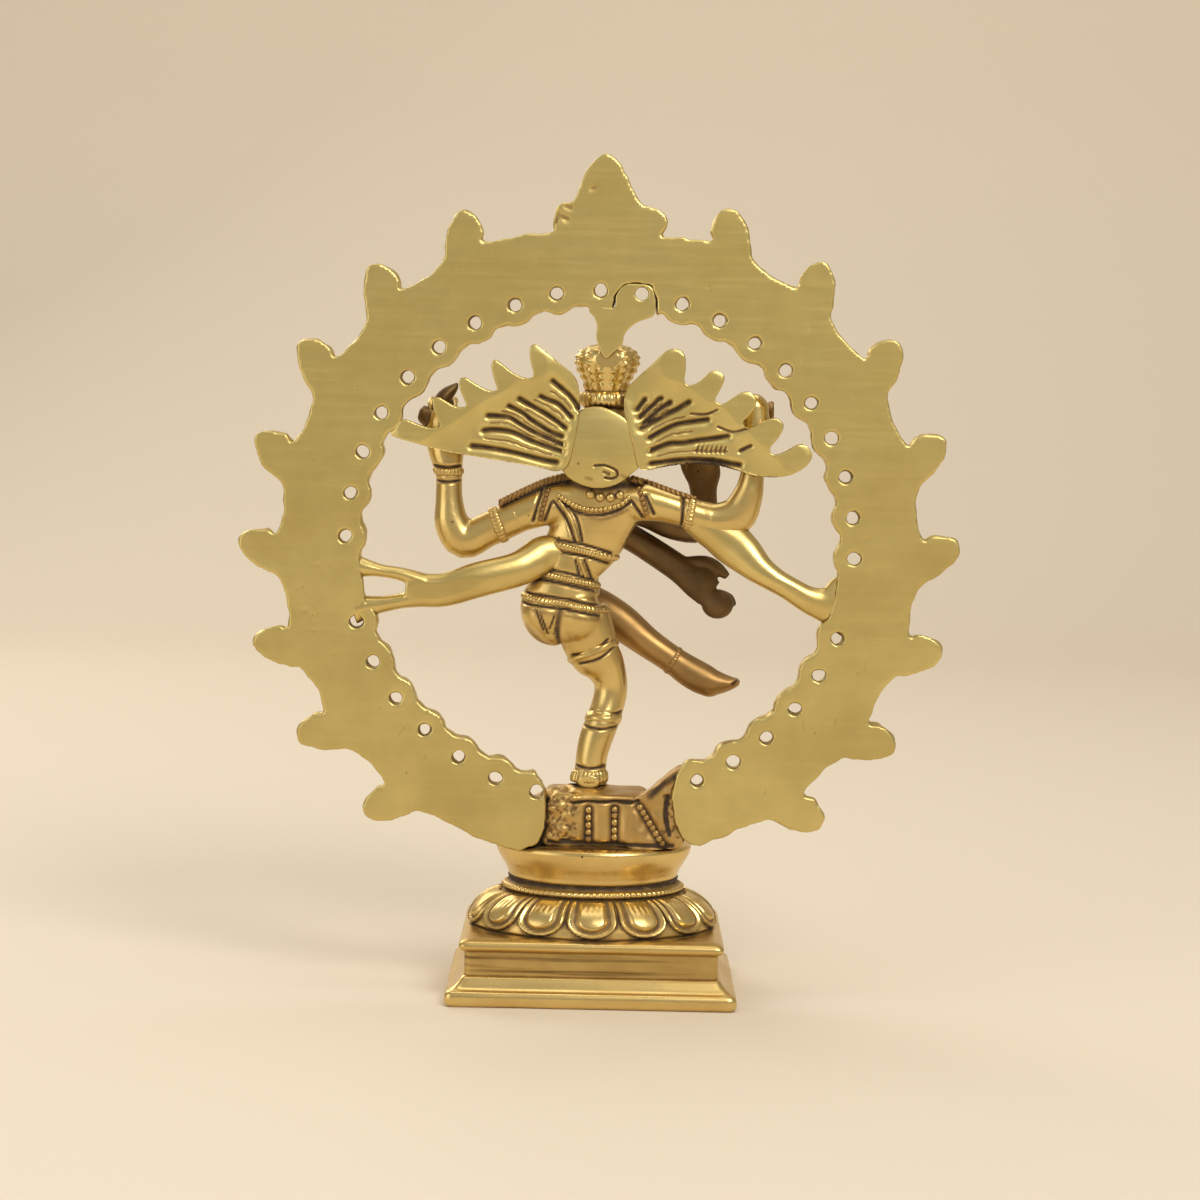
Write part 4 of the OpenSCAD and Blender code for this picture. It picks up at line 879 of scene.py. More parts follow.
# painted shade: the blessing and crossing arms take the dark finish for the shade they stand in
handPiece("blessingArm", "darkBrass", "blessing_arm", blessingRows, [
    [(22.6 + 1.5 * i, 20.8, 78.6, 0.95, 0.9), (22.2 + 1.6 * i, 21.2, 81.6, 0.9, 0.85),
     (22.2 + 1.6 * i, 21.3, (83.6, 84.6, 84.4, 83.2)[i], 0.6, 0.6)] for i in range(4)] + [
    [(21.8, 20.4, 74.6, 1.2, 1.1), (20.2, 20.8, 77.6, 1.0, 0.9), (20.4, 21, 79.4, 0.7, 0.7)]])
handPiece("crossingArm", "darkBrass", "crossing_arm", crossingRows, [
    [(25.2 + 1.2 * i, 18.4 + 0.7 * i, 47.2 - 0.2 * i, 1.2, 1.2), (27.6 + 1.4 * i, 18.2 + 0.7 * i, 43.4 + 0.7 * i, 1.2, 1.2),
     (28.6 + 1.5 * i, 18.2 + 0.7 * i, 40.8 + 0.9 * i, 0.8, 0.9)] for i in range(4)] + [
    [(21.4, 19, 54.2, 1.5, 1.5), (26, 19, 54.0, 1.9, 1.6), (29, 19, 52.6, 1.7, 1.4), (31.4, 19, 50.8, 0.9, 0.9)]],
    [((24.6, 19, 49.6), (4.4, 2.6, 4.2)), ((29, 18.8, 44), (4.0, 2.4, 3.6))])
print("limbs done")


# ---- flying sash and elbow strut ----

def addBar(bm, rows, sides=22):  # rows are x, depth, height, half height, half depth in world millimetres
    path = glide(rows, 5)
    centres = [backPlace(r[0], r[2], r[1]) for r in path]
    addTube(bm, centres, [(r[3] * mm, r[4] * mm) for r in path], sides)


bm = bmesh.new()
addBar(bm, [(-8.5, 8.4, 107.4, 4.4, 3.2), (-13.2, 7.2, 107.2, 4.9, 3.3), (-16.5, 5.6, 105.6, 4.5, 3.2), (-20.4, 4.0, 103.7, 4.2, 2.9),
            (-29.4, 2.6, 101.2, 4.3, 2.8), (-37, 2.3, 98.8, 4.0, 2.6), (-43, 2.3, 98.6, 4.0, 2.6), (-46.4, 2.3, 98.8, 3.8, 2.4)])
addBar(bm, [(-42, 2.3, 100.4, 2.2, 2.3), (-47, 2.3, 102.2, 1.7, 2.3), (-52, 2.3, 103.0, 1.6, 2.3), (-55.6, 2.3, 103.6, 2.1, 2.4), (-58.8, 2.4, 104.0, 3.0, 2.4)])
addBar(bm, [(-42, 2.3, 97.0, 2.4, 2.3), (-47, 2.3, 96.0, 1.9, 2.3), (-52, 2.3, 95.0, 2.1, 2.3), (-55.6, 2.3, 94.4, 2.7, 2.4), (-58.8, 2.4, 93.6, 3.6, 2.4)])
sash = castPiece("flyingSash", bm, 0.36, 5)
roughen(sash, 0.16, 90, 12.0)
fileFlat(sash)
keepPiece(sash, "barBrass", "flying_sash")

bm = bmesh.new()
addBar(bm, [(21.5, 7.6, 116.6, 3.2, 3.2), (24.5, 7.4, 115.4, 4.1, 3.5), (28.0, 7.2, 113.6, 4.7, 3.6), (31.4, 6.6, 111.3, 5.2, 3.6),
            (34.8, 5.2, 108.5, 4.7, 3.3), (38.4, 3.6, 105.2, 3.6, 2.8),
            (42, 2.6, 102.8, 3.0, 2.5), (45.6, 2.3, 100.8, 2.9, 2.4), (50, 2.3, 98.3, 3.3, 2.4), (53.6, 2.4, 97.2, 4.2, 2.4),
            (56.8, 2.4, 97.2, 6.6, 2.4), (59.0, 2.4, 97.2, 8.0, 2.4)])
strut = castPiece("elbowStrut", bm, 0.36, 5)
roughen(strut, 0.14, 90, 13.0)
fileFlat(strut)
keepPiece(strut, "barBrass", "elbow_strut")


# ---- head, crown and ornaments ----

headSizes = dict(centre=(0.8, 10.0, 86.0), half=(7.1, 7.1, 8.9))
faceMoves = [  # across, up, half width, half height, push, in shares of the head's half width
    (0.38, 0.02, 0.24, 0.13, -0.10), (0.38, 0.00, 0.15, 0.070, 0.10), (0.38, 0.10, 0.20, 0.022, -0.05),
    (0.38, -0.015, 0.17, 0.012, -0.035), (0.38, 0.20, 0.25, 0.045, 0.07), (0.50, -0.28, 0.22, 0.22, 0.05),
    (0.12, -0.31, 0.065, 0.06, 0.12), (0.0, -0.02, 0.08, 0.24, 0.13), (0.0, -0.27, 0.10, 0.10, 0.28),
    (0.0, -0.50, 0.19, 0.035, 0.11), (0.0, -0.555, 0.23, 0.016, -0.06), (0.0, -0.61, 0.15, 0.045, 0.12),
    (0.0, -0.69, 0.14, 0.035, -0.03), (0.0, -0.86, 0.20, 0.13, 0.13), (0.0, 0.46, 0.035, 0.10, 0.05)]
bm = bmesh.new()
skull = bmesh.ops.create_uvsphere(bm, u_segments=180, v_segments=140, radius=1)["verts"]
for v in skull:
    x, y, z = v.co
    jaw = 1 - 0.16 * max(0.0, -z) ** 1.5
    push = 0
    if y > 0:
        for across, up, wide, tall, amount in faceMoves:
            for side in ((-1, 1) if across else (1,)):
                push += amount * math.exp(-((x - side * across) / wide) ** 2 - ((z * 1.25 - up) / tall) ** 2)
    front = min(1.0, max(0.0, y * 2))
    v.co = Vector((x * jaw, y * (1 - 0.06 * max(0.0, -z)) + push * front, z))
half = headSizes["half"]
bmesh.ops.scale(bm, vec=Vector([h * figureScale for h in half]), verts=skull)
bmesh.ops.translate(bm, vec=figurePlace(*headSizes["centre"]), verts=skull)
for side in (-1, 1):
    ear = bmesh.ops.create_uvsphere(bm, u_segments=20, v_segments=12, radius=1)["verts"]
    bmesh.ops.scale(bm, vec=Vector((0.9 * mm, 1.6 * mm, 3.2 * mm)), verts=ear)
    bmesh.ops.translate(bm, vec=figurePlace(0.8 + side * 7.2, 9.6, 84.4), verts=ear)
addLimb(bm, [(0.7, 8.4, 74.6, 4.4, 4.2), (0.7, 8.8, 77.5, 4.0, 4.0), (0.8, 9.4, 80.5, 4.8, 4.8)])
for v in bm.verts:
    v.co.y = max(v.co.y, backY + 2.4 * mm)
keepPiece(meshObject("headAndFace", bm), "figureBrass", "head")


def ridgedTurn(name, finish, nodes, rows, ridges, beads, relief, around=240, turn=0.0):
    # an upright turned shape with raised, beaded ribs; rows are x, depth, height, half width, half depth
    path = glide(rows, 14)
    bm = bmesh.new()
    bmesh.ops.create_grid(bm, x_segments=around, y_segments=len(path) - 1, size=1)
    for v in bm.verts:
        a = (v.co.x + 1) * math.pi
        t = (v.co.y + 1) / 2
        x, d, z, w, deep = path[round(t * (len(path) - 1))]
        rib = (0.5 + 0.5 * math.cos(a * ridges + turn)) ** 1.3
        bead = 0.62 + 0.38 * math.cos(t * beads * 2 * math.pi)
        out = relief * (rib * bead - 0.35) * math.sin(math.pi * min(1, max(0, t))) ** 0.3
        place = figurePlace(x, d, z)
        v.co = place + Vector(((w + out) * math.cos(a), (deep + out) * math.sin(a), 0)) * figureScale
    bmesh.ops.remove_doubles(bm, verts=bm.verts, dist=1e-6)
    bmesh.ops.holes_fill(bm, edges=[e for e in bm.edges if e.is_boundary])
    for v in bm.verts:
        v.co.y = max(v.co.y, backY + 2.2 * mm)
    return keepPiece(meshObject(name, bm), finish, *nodes)


ridgedTurn("crown", "figureBrass", ["crown"], [
    (0.8, 9, 94.6, 5.0, 5.0), (0.8, 8.8, 97.8, 5.6, 5.4), (0.8, 8.6, 100.4, 6.9, 6.3), (0.9, 8.4, 103, 7.6, 6.9),
    (1.0, 8.4, 105.2, 6.6, 6.2), (1.2, 8.4, 106.6, 3.6, 3.8), (1.2, 8.4, 107, 0.6, 0.6)], 14, 9, 0.62)
ridgedTurn("crownBand", "figureBrass", ["crown_band"], [
    (0.8, 9, 91.6, 4.6, 4.6), (0.8, 9, 92.4, 6.3, 6.1), (0.8, 9, 93.6, 6.7, 6.5), (0.8, 9, 94.9, 6.3, 6.1), (0.8, 9, 95.6, 5.0, 5.0),
], 30, 1, 0.45, 360)


def wrapBand(name, finish, nodes, target, centre, along, wide, high, beads=0, sink=0.35, profile=1.0):
    # a band laid round a limb: rays from the limb's axis find its surface
    bm = bmesh.new()
    around, rows = max(96, beads * 8), 9
    along = along.normalized()
    side = along.cross(Vector((0, 1, 0))).normalized()
    deep = side.cross(along)
    trees = [BVHTree.FromObject(t, bpy.context.evaluated_depsgraph_get()) for t in target]
    grid = bmesh.ops.create_grid(bm, x_segments=around, y_segments=rows - 1, size=1)["verts"]
    reach = {}
    for v in grid:
        k = round((v.co.x + 1) / 2 * around) % around
        row = round((v.co.y + 1) / 2 * (rows - 1))
        a = 2 * math.pi * k / around
        out = side * math.cos(a) + deep * math.sin(a)
        s = row / (rows - 1) * 2 - 1
        origin = centre + along * (s * wide / 2)
        if (k, row) not in reach:
            hits = [t.ray_cast(origin, out, 14 * mm)[3] for t in trees]
            hits = [h for h in hits if h]
            reach[k, row] = max(hits) if hits else 3 * mm
        dome = max(0.0, 1 - abs(s) ** 2.6)
        bead = 1.0 if not beads else 0.45 + 0.55 * abs(math.cos(a * beads / 2))
        edge = -sink * mm if row in (0, rows - 1) else high * dome * bead ** profile
        v.co = origin + out * (reach[k, row] + edge)
    bmesh.ops.remove_doubles(bm, verts=bm.verts, dist=1e-7)
    bmesh.ops.recalc_face_normals(bm, faces=bm.faces)
    loops = [e for e in bm.edges if e.is_boundary]
    inner = bmesh.ops.extrude_edge_only(bm, edges=loops)["geom"]
    verts = [g for g in inner if isinstance(g, bmesh.types.BMVert)]
    for v in verts:
        axis = centre + along * (v.co - centre).dot(along)
        v.co = axis + (v.co - axis) * 0.82
    bmesh.ops.bridge_loops(bm, edges=[e for e in bm.edges if e.is_boundary])
    return keepPiece(meshObject(name, bm), finish, *nodes)


wrapBand("chestBelt", "figureBrass", ["chest_belt"], [body], figurePlace(-4.7, 9, 57.4), Vector((0.22, 0, 1)), 1.9 * mm, 0.55 * mm, 46)
wrapBand("waistBelt", "figureBrass", ["waist_belt"], [body], figurePlace(-7.6, 9, 50.5), Vector((0.2, 0, 1)), 1.6 * mm, 0.55 * mm, 44)
wrapBand("hipBelt", "figureBrass", ["hip_belt"], [body], figurePlace(-8.8, 9, 44.8), Vector((0.15, 0, 1)), 1.7 * mm, 0.5 * mm, 50)
wrapBand("thighHem", "figureBrass", ["thigh_hem"], [body], figurePlace(0.4, 11, 33.2), Vector((-0.42, 0.1, 1)), 1.9 * mm, 0.42 * mm)
wrapBand("kneeBand", "figureBrass", ["knee_band"], [body, shin], figurePlace(1.7, 10.9, 16.5), Vector((0.12, 0.2, 1)), 3.0 * mm, 0.36 * mm)
wrapBand("standingAnklet", "figureBrass", ["standing_anklet"], [shin], figurePlace(-1.4, 9, 2.6), Vector((0, 0, 1)), 3.4 * mm, 0.6 * mm, 24)
# painted shade: the raised anklet takes the dark brown finish like its leg
wrapBand("raisedAnklet", "agedAndShadedBrass", ["raised_anklet"], [raised], figurePlace(18.6, 20.8, 29.9), Vector((1, 0, -0.6)), 1.4 * mm, 0.22 * mm, 22)
wrapBand("drumArmlet", "figureBrass", ["drum_armlet"], [body], figurePlace(21.4, 7.4, 66.4), Vector((1, 0, -0.2)), 2.2 * mm, 0.5 * mm, 24)
wrapBand("flameArmlet", "figureBrass", ["flame_armlet"], [body], figurePlace(-24.4, 7.4, 63.0), Vector((1, 0, 0.45)), 2.8 * mm, 0.5 * mm, 24)
wrapBand("flameWristlet", "figureBrass", ["flame_wristlet"], [flameArm], figurePlace(-36.8, 8, 75.7), Vector((0, 0, 1)), 2.0 * mm, 0.45 * mm, 22)
print("bands done")


def surfaceCord(name, finish, nodes, lines, target):
    # cords laid on the back of the figure: lines of x, z, radius and how many turns of twist
    tree = BVHTree.FromObject(target, bpy.context.evaluated_depsgraph_get())
    bm = bmesh.new()
    for points, radius, twist in lines:
        path = [Vector((p[0], 0, p[1])) * mm for p in glide(points, 6)]
        laid = []
        for p in path:
            hit = tree.ray_cast(Vector((p.x, -0.05, p.z)), Vector((0, 1, 0)))
            y = hit[0].y if hit[0] else backY + 6 * mm
            laid.append(Vector((p.x, y + radius * mm * 0.1, p.z)))
        if not twist:
            addTube(bm, laid, [(radius * mm, radius * mm)] * len(laid), 10)
            continue
        fine = [Vector(p) for p in glide([tuple(p) for p in laid], 4)]
        for phase in (0, math.pi):
            strand = []
            for i, p in enumerate(fine):
                a = phase + twist * 2 * math.pi * i / len(fine)
                strand.append(p + Vector((0.0, math.cos(a), math.sin(a))) * radius * mm * 0.5)
            addTube(bm, strand, [(radius * 0.62 * mm,) * 2] * len(strand), 10)
    return keepPiece(meshObject(name, bm), finish, *nodes)


def beadLine(name, finish, nodes, lines, target):
    tree = BVHTree.FromObject(target, bpy.context.evaluated_depsgraph_get())
    bm = bmesh.new()
    for points, radius, pitch in lines:
        path = [np.array(p) for p in glide(points, 16)]
        travelled = pitch
        for a, b in zip(path, path[1:]):
            travelled += float(np.linalg.norm(b - a))
            if travelled < pitch:
                continue
            travelled = 0
            hit = tree.ray_cast(Vector((b[0] * mm, -0.05, b[1] * mm)), Vector((0, 1, 0)))
            y = hit[0].y if hit[0] else backY + 6 * mm
            addBall(bm, Vector((b[0] * mm, y + 0.1 * mm, b[1] * mm)), [radius * mm, radius * 0.8 * mm, radius * mm], 10)
    return keepPiece(meshObject(name, bm), finish, *nodes)


surfaceCord("sacredThread", "figureBrass", ["sacred_thread"], [
    ([(-10.2, 120.8), (-7.0, 116.2), (-5.2, 110.9)], 0.42, 0), ([(-4.7, 106.4), (-3.2, 102.2)], 0.42, 0)], body)
surfaceCord("hairLocks", "agedAndShadedBrass", ["hair_locks"], [
    ([(-7.6, 126.6), (-13.1, 125.1), (-18.6, 122.6), (-24.1, 119.7)], 0.95, 9),
    ([(7.4, 126.2), (12.3, 124.8), (17.6, 123), (22.7, 121.4)], 0.85, 7)], body)
beadLine("shoulderStraps", "agedAndShadedBrass", ["shoulder_straps"], [
    ([(-12.7, 123), (-13.8, 119.2), (-14.6, 115.6)], 0.72, 1.05), ([(9.0, 124), (10.2, 120.6), (11.3, 117.4)], 0.76, 1.05)], body)
beadLine("necklace", "figureBrass", ["necklace"], [
    ([(-10.3, 121.9), (-6.2, 119.5), (-1.1, 118.6), (4.5, 119.9), (7.2, 122.3)], 0.66, 0.86),
    ([(-2.6, 122.3), (-0.2, 121.7), (2.6, 121.7), (5.0, 122.4)], 1.15, 2.3)], body)

bm = bmesh.new()
for side in (-1, 1):
    hoop = bmesh.ops.create_uvsphere(bm, u_segments=28, v_segments=16, radius=1)["verts"]
    for v in hoop:
        swell = 1 + 0.12 * math.cos(8 * math.atan2(v.co.z, v.co.x))
        v.co = Vector((v.co.x * 2.0 * swell, v.co.y * 0.9, v.co.z * 2.0 * swell)) * mm
    bmesh.ops.translate(bm, vec=figurePlace(0.8 + side * 8.6, 9.8, 80.4), verts=hoop)
keepPiece(meshObject("earrings", bm), "figureBrass", "earrings")

drumSizes = dict(radius=3.4, waist=1.6, half=5.0)
drumLow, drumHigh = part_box("drum")
drumMid = (drumLow + drumHigh) / 2
bm = bmesh.new()
bmesh.ops.create_grid(bm, x_segments=64, y_segments=30, size=1)
for v in bm.verts:
    a, t = (v.co.x + 1) * math.pi, v.co.y
    r = drumSizes["waist"] + (drumSizes["radius"] - drumSizes["waist"]) * min(1, abs(t) * 1.12) ** 1.2
    r += 0.18 * math.cos(12 * a) * (1 - abs(t)) - 0.4 * max(0, abs(t) - 0.9) * 10 * 0.5
    v.co = drumMid + Vector((t * drumSizes["half"], r * math.cos(a), r * math.sin(a))) * mm
bmesh.ops.remove_doubles(bm, verts=bm.verts, dist=1e-6)
bmesh.ops.holes_fill(bm, edges=[e for e in bm.edges if e.is_boundary])
keepPiece(meshObject("drum", bm), "agedAndShadedBrass", "drum")

bm = bmesh.new()
addLimb(bm, [(-38.4, 8.8, 88.4, 2.6, 2.4), (-39.2, 9, 91, 2.0, 2.2), (-37.8, 9, 93.6, 1.9, 2.0), (-35.8, 9.2, 95.6, 1.1, 1.2), (-34.9, 9.2, 96.8, 0.3, 0.3)])
addLimb(bm, [(-41.2, 8.8, 87.4, 2.2, 2.2), (-42.9, 9, 89.4, 1.4, 1.8), (-42.4, 9.2, 91.2, 0.4, 0.5)])
addBall(bm, figurePlace(-41.6, 8.8, 88.4), [2.8 * mm, 2.0 * mm, 2.1 * mm])
handFlame = castPiece("handFlame", bm, 0.25, 3)
keepPiece(handFlame, "darkBrass", "hand_flame")
print("head and ornaments done")


# ---- dwarf ----

bodyLow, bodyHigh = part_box("dwarf_body")
dwarfMid = (bodyLow + bodyHigh) / 2
dwarfTop = bodyHigh.z / mm
bm = bmesh.new()
block = bmesh.ops.create_cube(bm, size=1)["verts"]
size = bodyHigh - bodyLow
bmesh.ops.scale(bm, vec=Vector((size.x + 2.4 * mm, size.y - 0.6 * mm, size.z - 0.6 * mm)), verts=block)
bmesh.ops.translate(bm, vec=dwarfMid - Vector((0, 0, 0.7 * mm)), verts=block)
bmesh.ops.bevel(bm, geom=list(bm.edges), offset=2.4 * mm, affect="EDGES", segments=4, profile=0.5, material=-1)
addBall(bm, Vector((-1.5 * mm, dwarfMid.y + 1 * mm, (dwarfTop - 4.4) * mm)), [10.5 * mm, 8.8 * mm, 4.9 * mm])
addBall(bm, Vector((-1.4 * mm, backY + 8.6 * mm, (dwarfTop - 2.4) * mm)), [7.4 * mm, 6.2 * mm, 3.2 * mm])
addBall(bm, Vector((-8.4 * mm, backY + 7 * mm, (dwarfTop - 4.8) * mm)), [4.4 * mm, 5 * mm, 4.8 * mm])
addBall(bm, Vector((9.4 * mm, backY + 8 * mm, (dwarfTop - 6.6) * mm)), [4.6 * mm, 5.4 * mm, 4.6 * mm])
addPlate(bm, [tuple(p) for p in glide([(8, 37.2), (19.8, 37.2), (21.8, 41), (22.4, 50), (22.8, 56.6), (20, 56.8), (17.4, 55.0),
                                       (14.4, 52.2), (12.2, 50.4), (9.6, 49.2), (8, 45)], 3, True)], 1.3, 6.0)
addBall(bm, Vector((13.4 * mm, backY + 7 * mm, 43 * mm)), [6.4 * mm, 5.6 * mm, 6.0 * mm])
dwarf = castPiece("dwarfBody", bm, 0.36, 6)
strips = [[(-1.4, 46.4), (-1.3, 38.4)], [(4.9, 46.6), (5.0, 38.4)], [(10.9, 47.2), (13.8, 42.6), (16.6, 38.2)]]
engrave(dwarf, [(line, 1.45, 1.2) for line in strips], -1, 0.9)
engrave(dwarf, [([(-5.6, 48.2), (2, 48.4), (10.4, 48.5)], 0.55, 1.0), ([(17.6, 50), (17.2, 45), (18.2, 40.6)], 0.6, 0.6),
                ([(-11, 38.2), (-4, 38.0), (8, 37.9), (19, 37.9)], 0.6, 0.5), ([(19.6, 55.0), (16, 52.6), (13.4, 50.0)], 1.3, 0.2)], -1)
pits = random.Random(3)
rough = []
for _ in range(90):  # the unworked skin of the casting, left of the straps and at the ring's end
    left = pits.random() < 0.75
    x, z = (pits.uniform(-12.4, -4.4), pits.uniform(38.4, 49.6)) if left else (pits.uniform(16.6, 20), pits.uniform(39, 53))
    rough.append(([(x, z), (x + pits.uniform(-0.9, 0.9), z + pits.uniform(-0.9, 0.9))], pits.uniform(0.22, 0.5), 0.3))
engrave(dwarf, rough, -1, 0.62)
roughen(dwarf, 0.9, 420, 1.0, lambda co: (np.clip((-co[:, 0] / mm - 2.4) / 3, 0, 1) + 0.35 * (co[:, 0] > 9 * mm)) * (co[:, 1] < dwarfMid.y))
roughen(dwarf, 0.3, 210, 15.0)
fileFlat(dwarf)
keepPiece(dwarf, "dwarfBrass", "dwarf_body", "ring_foot")
beadLine("dwarfStraps", "dwarfBrass", ["dwarf_straps"], [(line, 0.98, 1.35) for line in strips], dwarf)

headLow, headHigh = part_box("dwarf_head")
headMid = (headLow + headHigh) / 2
headR = (headHigh.x - headLow.x) / 2
bm = bmesh.new()
skull = bmesh.ops.create_uvsphere(bm, u_segments=110, v_segments=80, radius=1)["verts"]
for v in skull:
    x, y, z = v.co
    push = 0
    if y > 0:
        for across, up, wide, tall, amount in faceMoves[:-1]:
            for side in ((-1, 1) if across else (1,)):
                push += amount * math.exp(-((x - side * across) / wide) ** 2 - ((z * 1.2 - up) / tall) ** 2)
    curls = 0.05 * abs(math.sin(9 * math.atan2(x, z + 0.3))) * (1 if y < 0.1 else 0)
    v.co = v.co * (1 + curls) + Vector((0, push * min(1, max(0, 2 * y)), 0))
bmesh.ops.scale(bm, vec=Vector((headR * 0.94, headR * 0.94, headR * 0.97)), verts=skull)
bmesh.ops.rotate(bm, cent=Vector(), matrix=Matrix.Rotation(math.radians(-35), 3, "Z"), verts=skull)
bmesh.ops.translate(bm, vec=headMid, verts=skull)
keepPiece(meshObject("dwarfHead", bm), "agedAndShadedBrass", "dwarf_head")

dwarfLegRows = [(-9, 2, 8, 4.2, 4.4), (-13, 2.2, 6.4, 3.9, 4.2), (-17, 1.4, 4.8, 3.2, 3.6), (-19.6, -2, 3.6, 2.5, 2.6), (-19.8, -6, 2.4, 2.0, 2.0)]
bm = bmesh.new()
rows = glide(dwarfLegRows, 4)
addTube(bm, [Vector((r[0] * mm, r[1] * mm, seatZ + r[2] * mm)) for r in rows], [(r[3] * mm, r[4] * mm) for r in rows], 18, Vector((0, 0, 1)))
rows = glide([(-9, -4, 7, 3.4, 3.4), (-13.6, -6, 5, 3.0, 3.2), (-16, -8.4, 3.2, 2.2, 2.6), (-14, -10, 2.2, 1.6, 1.8)], 4)
addTube(bm, [Vector((r[0] * mm, r[1] * mm, seatZ + r[2] * mm)) for r in rows], [(r[3] * mm, r[4] * mm) for r in rows], 18, Vector((0, 0, 1)))
legs = castPiece("dwarfLegs", bm, 0.36, 4)
co = places(legs)
co[:, 2] = np.maximum(co[:, 2], seatZ - 0.1 * mm)
putPlaces(legs, co)
keepPiece(legs, "agedAndShadedBrass", "dwarf_legs")

frontY = bodyHigh.y / mm
bm = bmesh.new()
for x, bend in ((6, 1.6), (-4, -1.4)):
    rows = glide([(x, frontY - 2.6, 9, 2.6, 2.6), (x + bend * 0.6, frontY + 1.0, 7.6, 2.3, 2.3), (x + bend, frontY + 3.0, 4.4, 1.9, 2.0),
                  (x + bend, frontY + 3.6, 1.6, 1.7, 1.8)], 4)
    addTube(bm, [Vector((r[0] * mm, r[1] * mm, seatZ + r[2] * mm)) for r in rows], [(r[3] * mm, r[4] * mm) for r in rows], 16, Vector((1, 0, 0)))
    for i in range(4):
        fx = x + bend - 1.6 + 1.05 * i
        addCord(bm, [Vector((fx, frontY + 3.6, seatZ / mm + 1.2)) * mm, Vector((fx, frontY + 5.4, seatZ / mm + 0.9)) * mm], 0.62 * mm)
arms = castPiece("dwarfArms", bm, 0.3, 3)
co = places(arms)
co[:, 2] = np.maximum(co[:, 2], seatZ - 0.1 * mm)
putPlaces(arms, co)
keepPiece(arms, "agedAndShadedBrass", "dwarf_arms")
print("dwarf done")


# ---- patina and painted shade from how enclosed each place is ----

patinaAndShadeSizes = dict(rays=9, reach=3.6)


def layPatinaAndShade():
    graph = bpy.context.evaluated_depsgraph_get()
    verts, faces = [], []
    for piece in finished:
        offset = len(verts)
        verts += [v.co.copy() for v in piece.data.vertices]
        faces += [[i + offset for i in p.vertices] for p in piece.data.polygons]
    tree = BVHTree.FromPolygons(verts, faces)
    rays = []
    count = patinaAndShadeSizes["rays"]
    for i in range(count):
        r = math.sqrt((i + 0.5) / count) * 0.96
        a = i * 2.39996
        rays.append(Vector((r * math.cos(a), r * math.sin(a), math.sqrt(1 - r * r))))
    reach = patinaAndShadeSizes["reach"] * mm
    for piece in finished:
        mesh = piece.data
        co = places(piece)
        no = slopes(piece)
        edges = np.empty(len(mesh.edges) * 2, dtype=np.int64)
        mesh.edges.foreach_get("vertices", edges)
        edges = edges.reshape(-1, 2)
        a, b = edges[:, 0], edges[:, 1]
        gap = co[b] - co[a]
        length = np.maximum(np.linalg.norm(gap, axis=1), 1e-7)
        bend = np.einsum("ij,ij->i", no[b] - no[a], gap) / length ** 2 * mm
        total = np.zeros(len(co))
        seen = np.zeros(len(co))
        for end in (a, b):
            np.add.at(total, end, bend)
            np.add.at(seen, end, 1)
        curve = total / np.maximum(seen, 1)
        # how enclosed each place is, by rays cast to all the pieces: darkening there is patina in the hollows and
        # painted shade under and between parts
        shut = np.zeros(len(co))
        for i in range(len(co)):
            n = Vector(no[i])
            side = n.orthogonal().normalized()
            other = n.cross(side)
            start = Vector(co[i]) + n * 0.00012
            blocked = 0.0
            for r in rays:
                far = tree.ray_cast(start, side * r.x + other * r.y + n * r.z, reach)[3]
                if far is not None:
                    blocked += 1 - far / reach * 0.6
            shut[i] = blocked / count
        for _ in range(2):
            total = shut.copy()
            seen = np.ones(len(co))
            for x, y in ((a, b), (b, a)):
                np.add.at(total, x, shut[y])
                np.add.at(seen, x, 1)
            shut = total / seen
        # patina and painted shade: darker where enclosed and where concave, lighter on convex edges as wear; the stroke
        # marks join in below
        patinaAndShadeLevel = 1.25 * np.clip(shut - 0.14, 0, 1) + 0.16 * np.clip(-curve, 0, 3) - 0.10 * np.clip(curve, 0, 2)
        inkAndShade = mesh.attributes.get("inkAndShade")
        if inkAndShade:
            marks = np.zeros(len(co))
            inkAndShade.data.foreach_get("value", marks)
            patinaAndShadeLevel = np.maximum(patinaAndShadeLevel, marks * 0.95)
            mesh.attributes.remove(inkAndShade)
        layer = mesh.attributes.new("patinaAndShade", "FLOAT_COLOR", "POINT")
        patinaAndShadeLevel = np.clip(patinaAndShadeLevel, 0, 1)
        rgba = np.stack([patinaAndShadeLevel, patinaAndShadeLevel, patinaAndShadeLevel, np.ones(len(patinaAndShadeLevel))], axis=1)
        layer.data.foreach_set("color", rgba.ravel())


layPatinaAndShade()
print("patina done", sum(len(p.data.vertices) for p in finished))


# ---- floor, light and camera ----

def plainMaterial(name, colour, rough):
    mat = bpy.data.materials.new(name)
    mat.use_nodes = True
    shader = mat.node_tree.nodes["Principled BSDF"]
    shader.inputs["Base Color"].default_value = (*colour, 1)
    shader.inputs["Roughness"].default_value = rough
    return mat


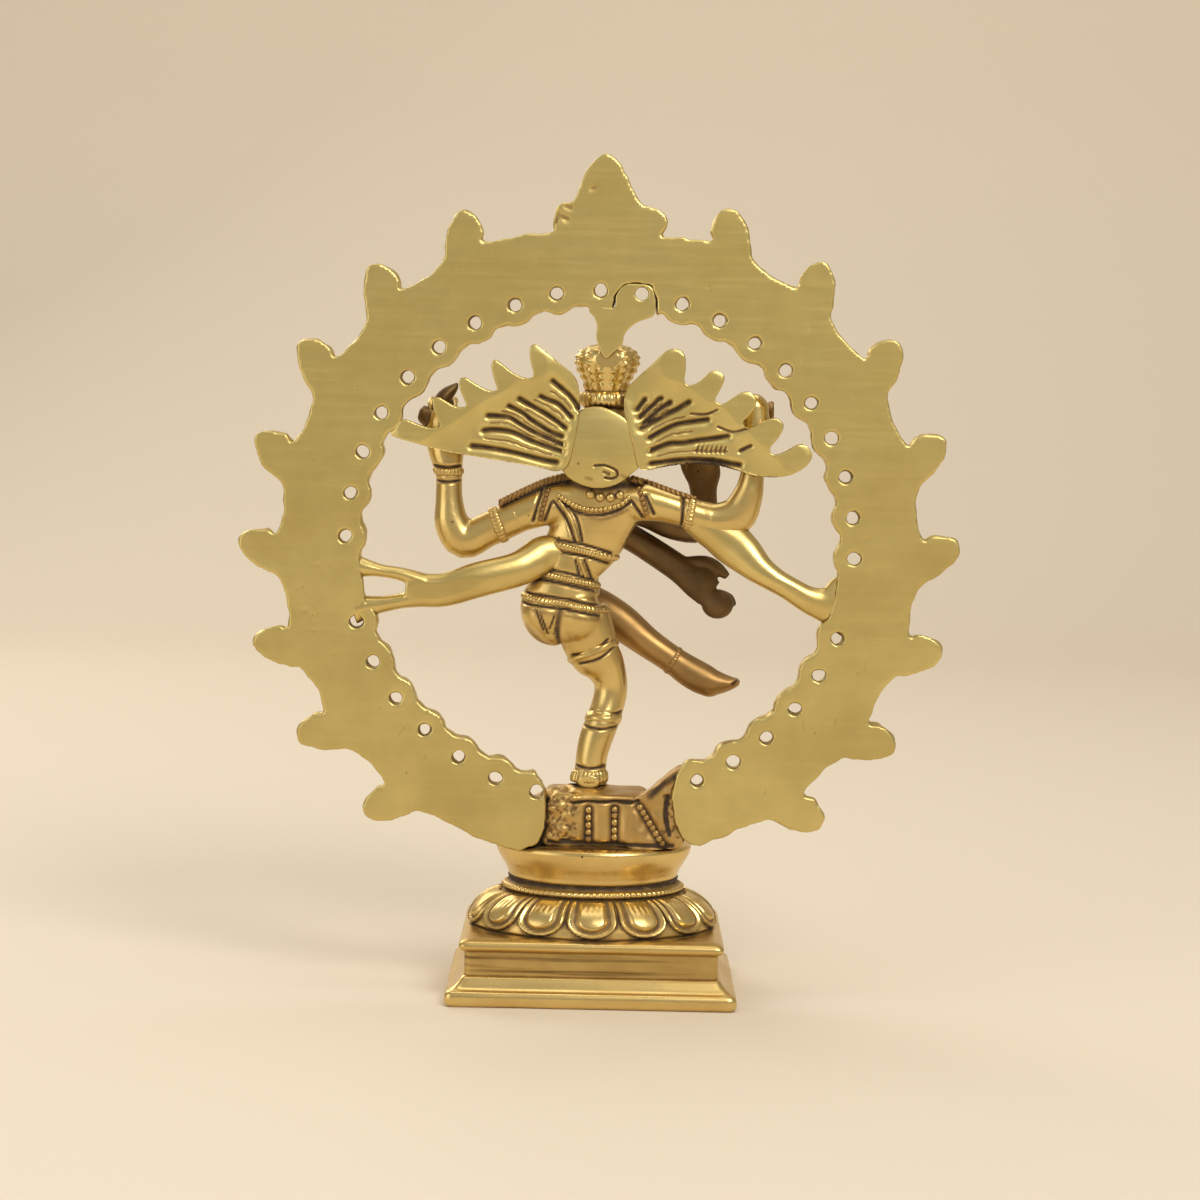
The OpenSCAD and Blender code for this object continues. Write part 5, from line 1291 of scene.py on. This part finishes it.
stageSizes = dict(reach=8.0, back=1.15, bend=0.35, high=1.9)
bm = bmesh.new()
s = stageSizes
bmesh.ops.create_grid(bm, x_segments=1, y_segments=1, size=1)
for v in bm.verts:
    v.co = Vector((v.co.x * s["reach"], s["back"] - s["bend"] if v.co.y > 0 else -s["reach"], 0))
edge = [e for e in bm.edges if all(v.co.y > 0 for v in e.verts)]
for i in range(1, 13):
    out = bmesh.ops.extrude_edge_only(bm, edges=edge)["geom"]
    edge = [g for g in out if isinstance(g, bmesh.types.BMEdge)]
    a = i / 12 * math.pi / 2
    for v in [g for g in out if isinstance(g, bmesh.types.BMVert)]:
        v.co.y = s["back"] - s["bend"] + s["bend"] * math.sin(a)
        v.co.z = s["bend"] * (1 - math.cos(a))
out = bmesh.ops.extrude_edge_only(bm, edges=edge)["geom"]
for v in [g for g in out if isinstance(g, bmesh.types.BMVert)]:
    v.co.z = s["high"]
floor = meshObject("floor", bm)
floor.data.shade_smooth()
floor.data.materials.append(plainMaterial("paleFloor", (0.83, 0.735, 0.60), 0.7))

world = bpy.data.worlds.new("softRoom")
world.use_nodes = True
bpy.context.scene.world = world
back = world.node_tree.nodes["Background"]
back.inputs["Color"].default_value = (1.0, 0.95, 0.86, 1)
back.inputs["Strength"].default_value = 0.45


def softBox(name, place, aim, wide, high, power, colour=(1, 0.96, 0.9)):
    light = bpy.data.lights.new(name, "AREA")
    light.shape = "RECTANGLE"
    light.size = wide
    light.size_y = high
    light.energy = power
    light.color = colour
    lamp = bpy.data.objects.new(name, light)
    bpy.context.scene.collection.objects.link(lamp)
    lamp.location = place
    lamp.rotation_euler = (Vector(aim) - Vector(place)).to_track_quat("-Z", "Y").to_euler()
    return lamp


middle = (0, 0, 0.10)
softBox("keyLight", (0.45, -0.85, 0.85), middle, 0.45, 0.45, 6.4)
softBox("fillLight", (-0.9, -0.7, 0.35), middle, 0.7, 0.9, 2.6)
softBox("topLight", (0, 0.1, 1.2), middle, 0.9, 0.9, 3.6)
softBox("rimLight", (-0.5, 0.7, 0.6), middle, 0.5, 0.5, 2)

cameraSizes = dict(place=(0.0003, -0.715, 0.158), aim=(0.0003, -0.016, 0.0973), lens=88.0, roll=-1.2)
camera = bpy.data.objects.new("camera", bpy.data.cameras.new("camera"))
bpy.context.scene.collection.objects.link(camera)
camera.location = cameraSizes["place"]
look = (Vector(cameraSizes["aim"]) - Vector(cameraSizes["place"])).to_track_quat("-Z", "Y")
camera.rotation_euler = (look.to_matrix() @ Matrix.Rotation(math.radians(-cameraSizes["roll"]), 3, "Z")).to_euler()
camera.data.lens = cameraSizes["lens"]
camera.data.sensor_width = 36
camera.data.clip_start = 0.01
bpy.context.scene.camera = camera
bpy.context.scene.view_settings.view_transform = "Standard"
